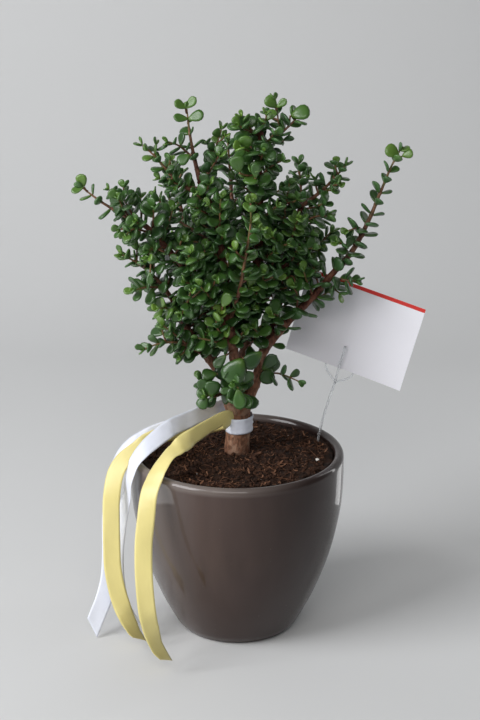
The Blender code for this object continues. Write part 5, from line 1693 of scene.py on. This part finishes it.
def make_camera():
    camera = bpy.data.cameras.new("camera")
    camera.lens = 81.2
    camera.sensor_width = 36
    camera.shift_x = 0.0042
    made = bpy.data.objects.new("camera", camera)
    made.location = (0, -1.332, 0.690)
    made.rotation_euler = (radians(71.59), 0, 0)
    bpy.context.scene.collection.objects.link(made)
    bpy.context.scene.camera = made


# Operators


class JADE_OT_stage(bpy.types.Operator):
    """Make the floor, the lights and the camera"""

    bl_idname = "jade.stage"
    bl_label = "Stage"

    def execute(self, context):
        make_stage(context.scene.jade_stage)
        make_lights(context.scene.jade_stage)
        make_camera()
        return {"FINISHED"}


class JADE_OT_pot(bpy.types.Operator):
    """Make the glazed pot"""

    bl_idname = "jade.pot"
    bl_label = "Pot"

    def execute(self, context):
        make_pot(context.scene.jade_pot)
        return {"FINISHED"}


class JADE_OT_soil(bpy.types.Operator):
    """Make the soil with its crumbs, fibres and flakes"""

    bl_idname = "jade.soil"
    bl_label = "Soil"

    def execute(self, context):
        make_soil(context.scene.jade_soil)
        return {"FINISHED"}


class JADE_OT_plant(bpy.types.Operator):
    """Make the wood, the twigs and the leaves"""

    bl_idname = "jade.plant"
    bl_label = "Plant"

    def execute(self, context):
        wood = context.scene.jade_wood
        plans = plan_limbs()
        make_wood(wood, plans, bark_material(wood))
        canopy = grow_canopy(plans)
        twigs = twig_material(wood)
        for limb in LIMBS:
            make_twigs("twigs_" + limb.name, canopy.twigs[limb.name], twigs)
        make_leaves(context.scene.jade_leaf, canopy)
        return {"FINISHED"}


class JADE_OT_ribbons(bpy.types.Operator):
    """Make the four ribbon tails and the band round the trunk"""

    bl_idname = "jade.ribbons"
    bl_label = "Ribbons"

    def execute(self, context):
        settings = context.scene.jade_ribbon
        satin = {"ribbon_white": satin_material("satin_white", settings.white, settings.width),
                 "ribbon_yellow": satin_material("satin_yellow", settings.yellow, settings.width)}
        for number, (name, (finish, knots, widths)) in enumerate(RIBBONS.items()):
            make_ribbon(name, finish, settings, satin[finish], knots, widths, number)
        make_band(settings, satin["ribbon_white"])
        return {"FINISHED"}


class JADE_OT_card(bpy.types.Operator):
    """Make the card and the clear pick that holds it"""

    bl_idname = "jade.card"
    bl_label = "Card and pick"

    def execute(self, context):
        make_card(context.scene.jade_card)
        make_pick(context.scene.jade_card)
        return {"FINISHED"}


class JADE_PT_panel(bpy.types.Panel):
    """Lists the pieces and their settings"""

    bl_idname = "JADE_PT_panel"
    bl_label = "Jade Plant"
    bl_space_type = "VIEW_3D"
    bl_region_type = "UI"
    bl_category = "Jade Plant"

    def draw(self, context):
        for operator, groups in PIECES.items():
            box = self.layout.box()
            box.operator(operator.bl_idname)
            for group in groups:
                settings = getattr(context.scene, group)
                for name in settings.bl_rna.properties.keys():
                    if name not in ("rna_type", "name"):
                        box.prop(settings, name)


SETTINGS = {"jade_stage": StageSettings, "jade_pot": PotSettings, "jade_soil": SoilSettings,
            "jade_wood": WoodSettings, "jade_leaf": LeafSettings, "jade_ribbon": RibbonSettings,
            "jade_card": CardSettings}
PIECES = {JADE_OT_stage: ("jade_stage",), JADE_OT_pot: ("jade_pot",), JADE_OT_soil: ("jade_soil",),
          JADE_OT_plant: ("jade_wood", "jade_leaf"), JADE_OT_ribbons: ("jade_ribbon",),
          JADE_OT_card: ("jade_card",)}


def register():
    for name, group in SETTINGS.items():
        bpy.utils.register_class(group)
        setattr(bpy.types.Scene, name, PointerProperty(type=group))
    for operator in PIECES:
        bpy.utils.register_class(operator)
    bpy.utils.register_class(JADE_PT_panel)


def unregister():
    bpy.utils.unregister_class(JADE_PT_panel)
    for operator in PIECES:
        bpy.utils.unregister_class(operator)
    for name, group in SETTINGS.items():
        delattr(bpy.types.Scene, name)
        bpy.utils.unregister_class(group)


def main():
    register()
    bpy.ops.jade.stage()
    bpy.ops.jade.pot()
    bpy.ops.jade.soil()
    bpy.ops.jade.plant()
    bpy.ops.jade.ribbons()
    bpy.ops.jade.card()


if __name__ == "__main__":
    main()
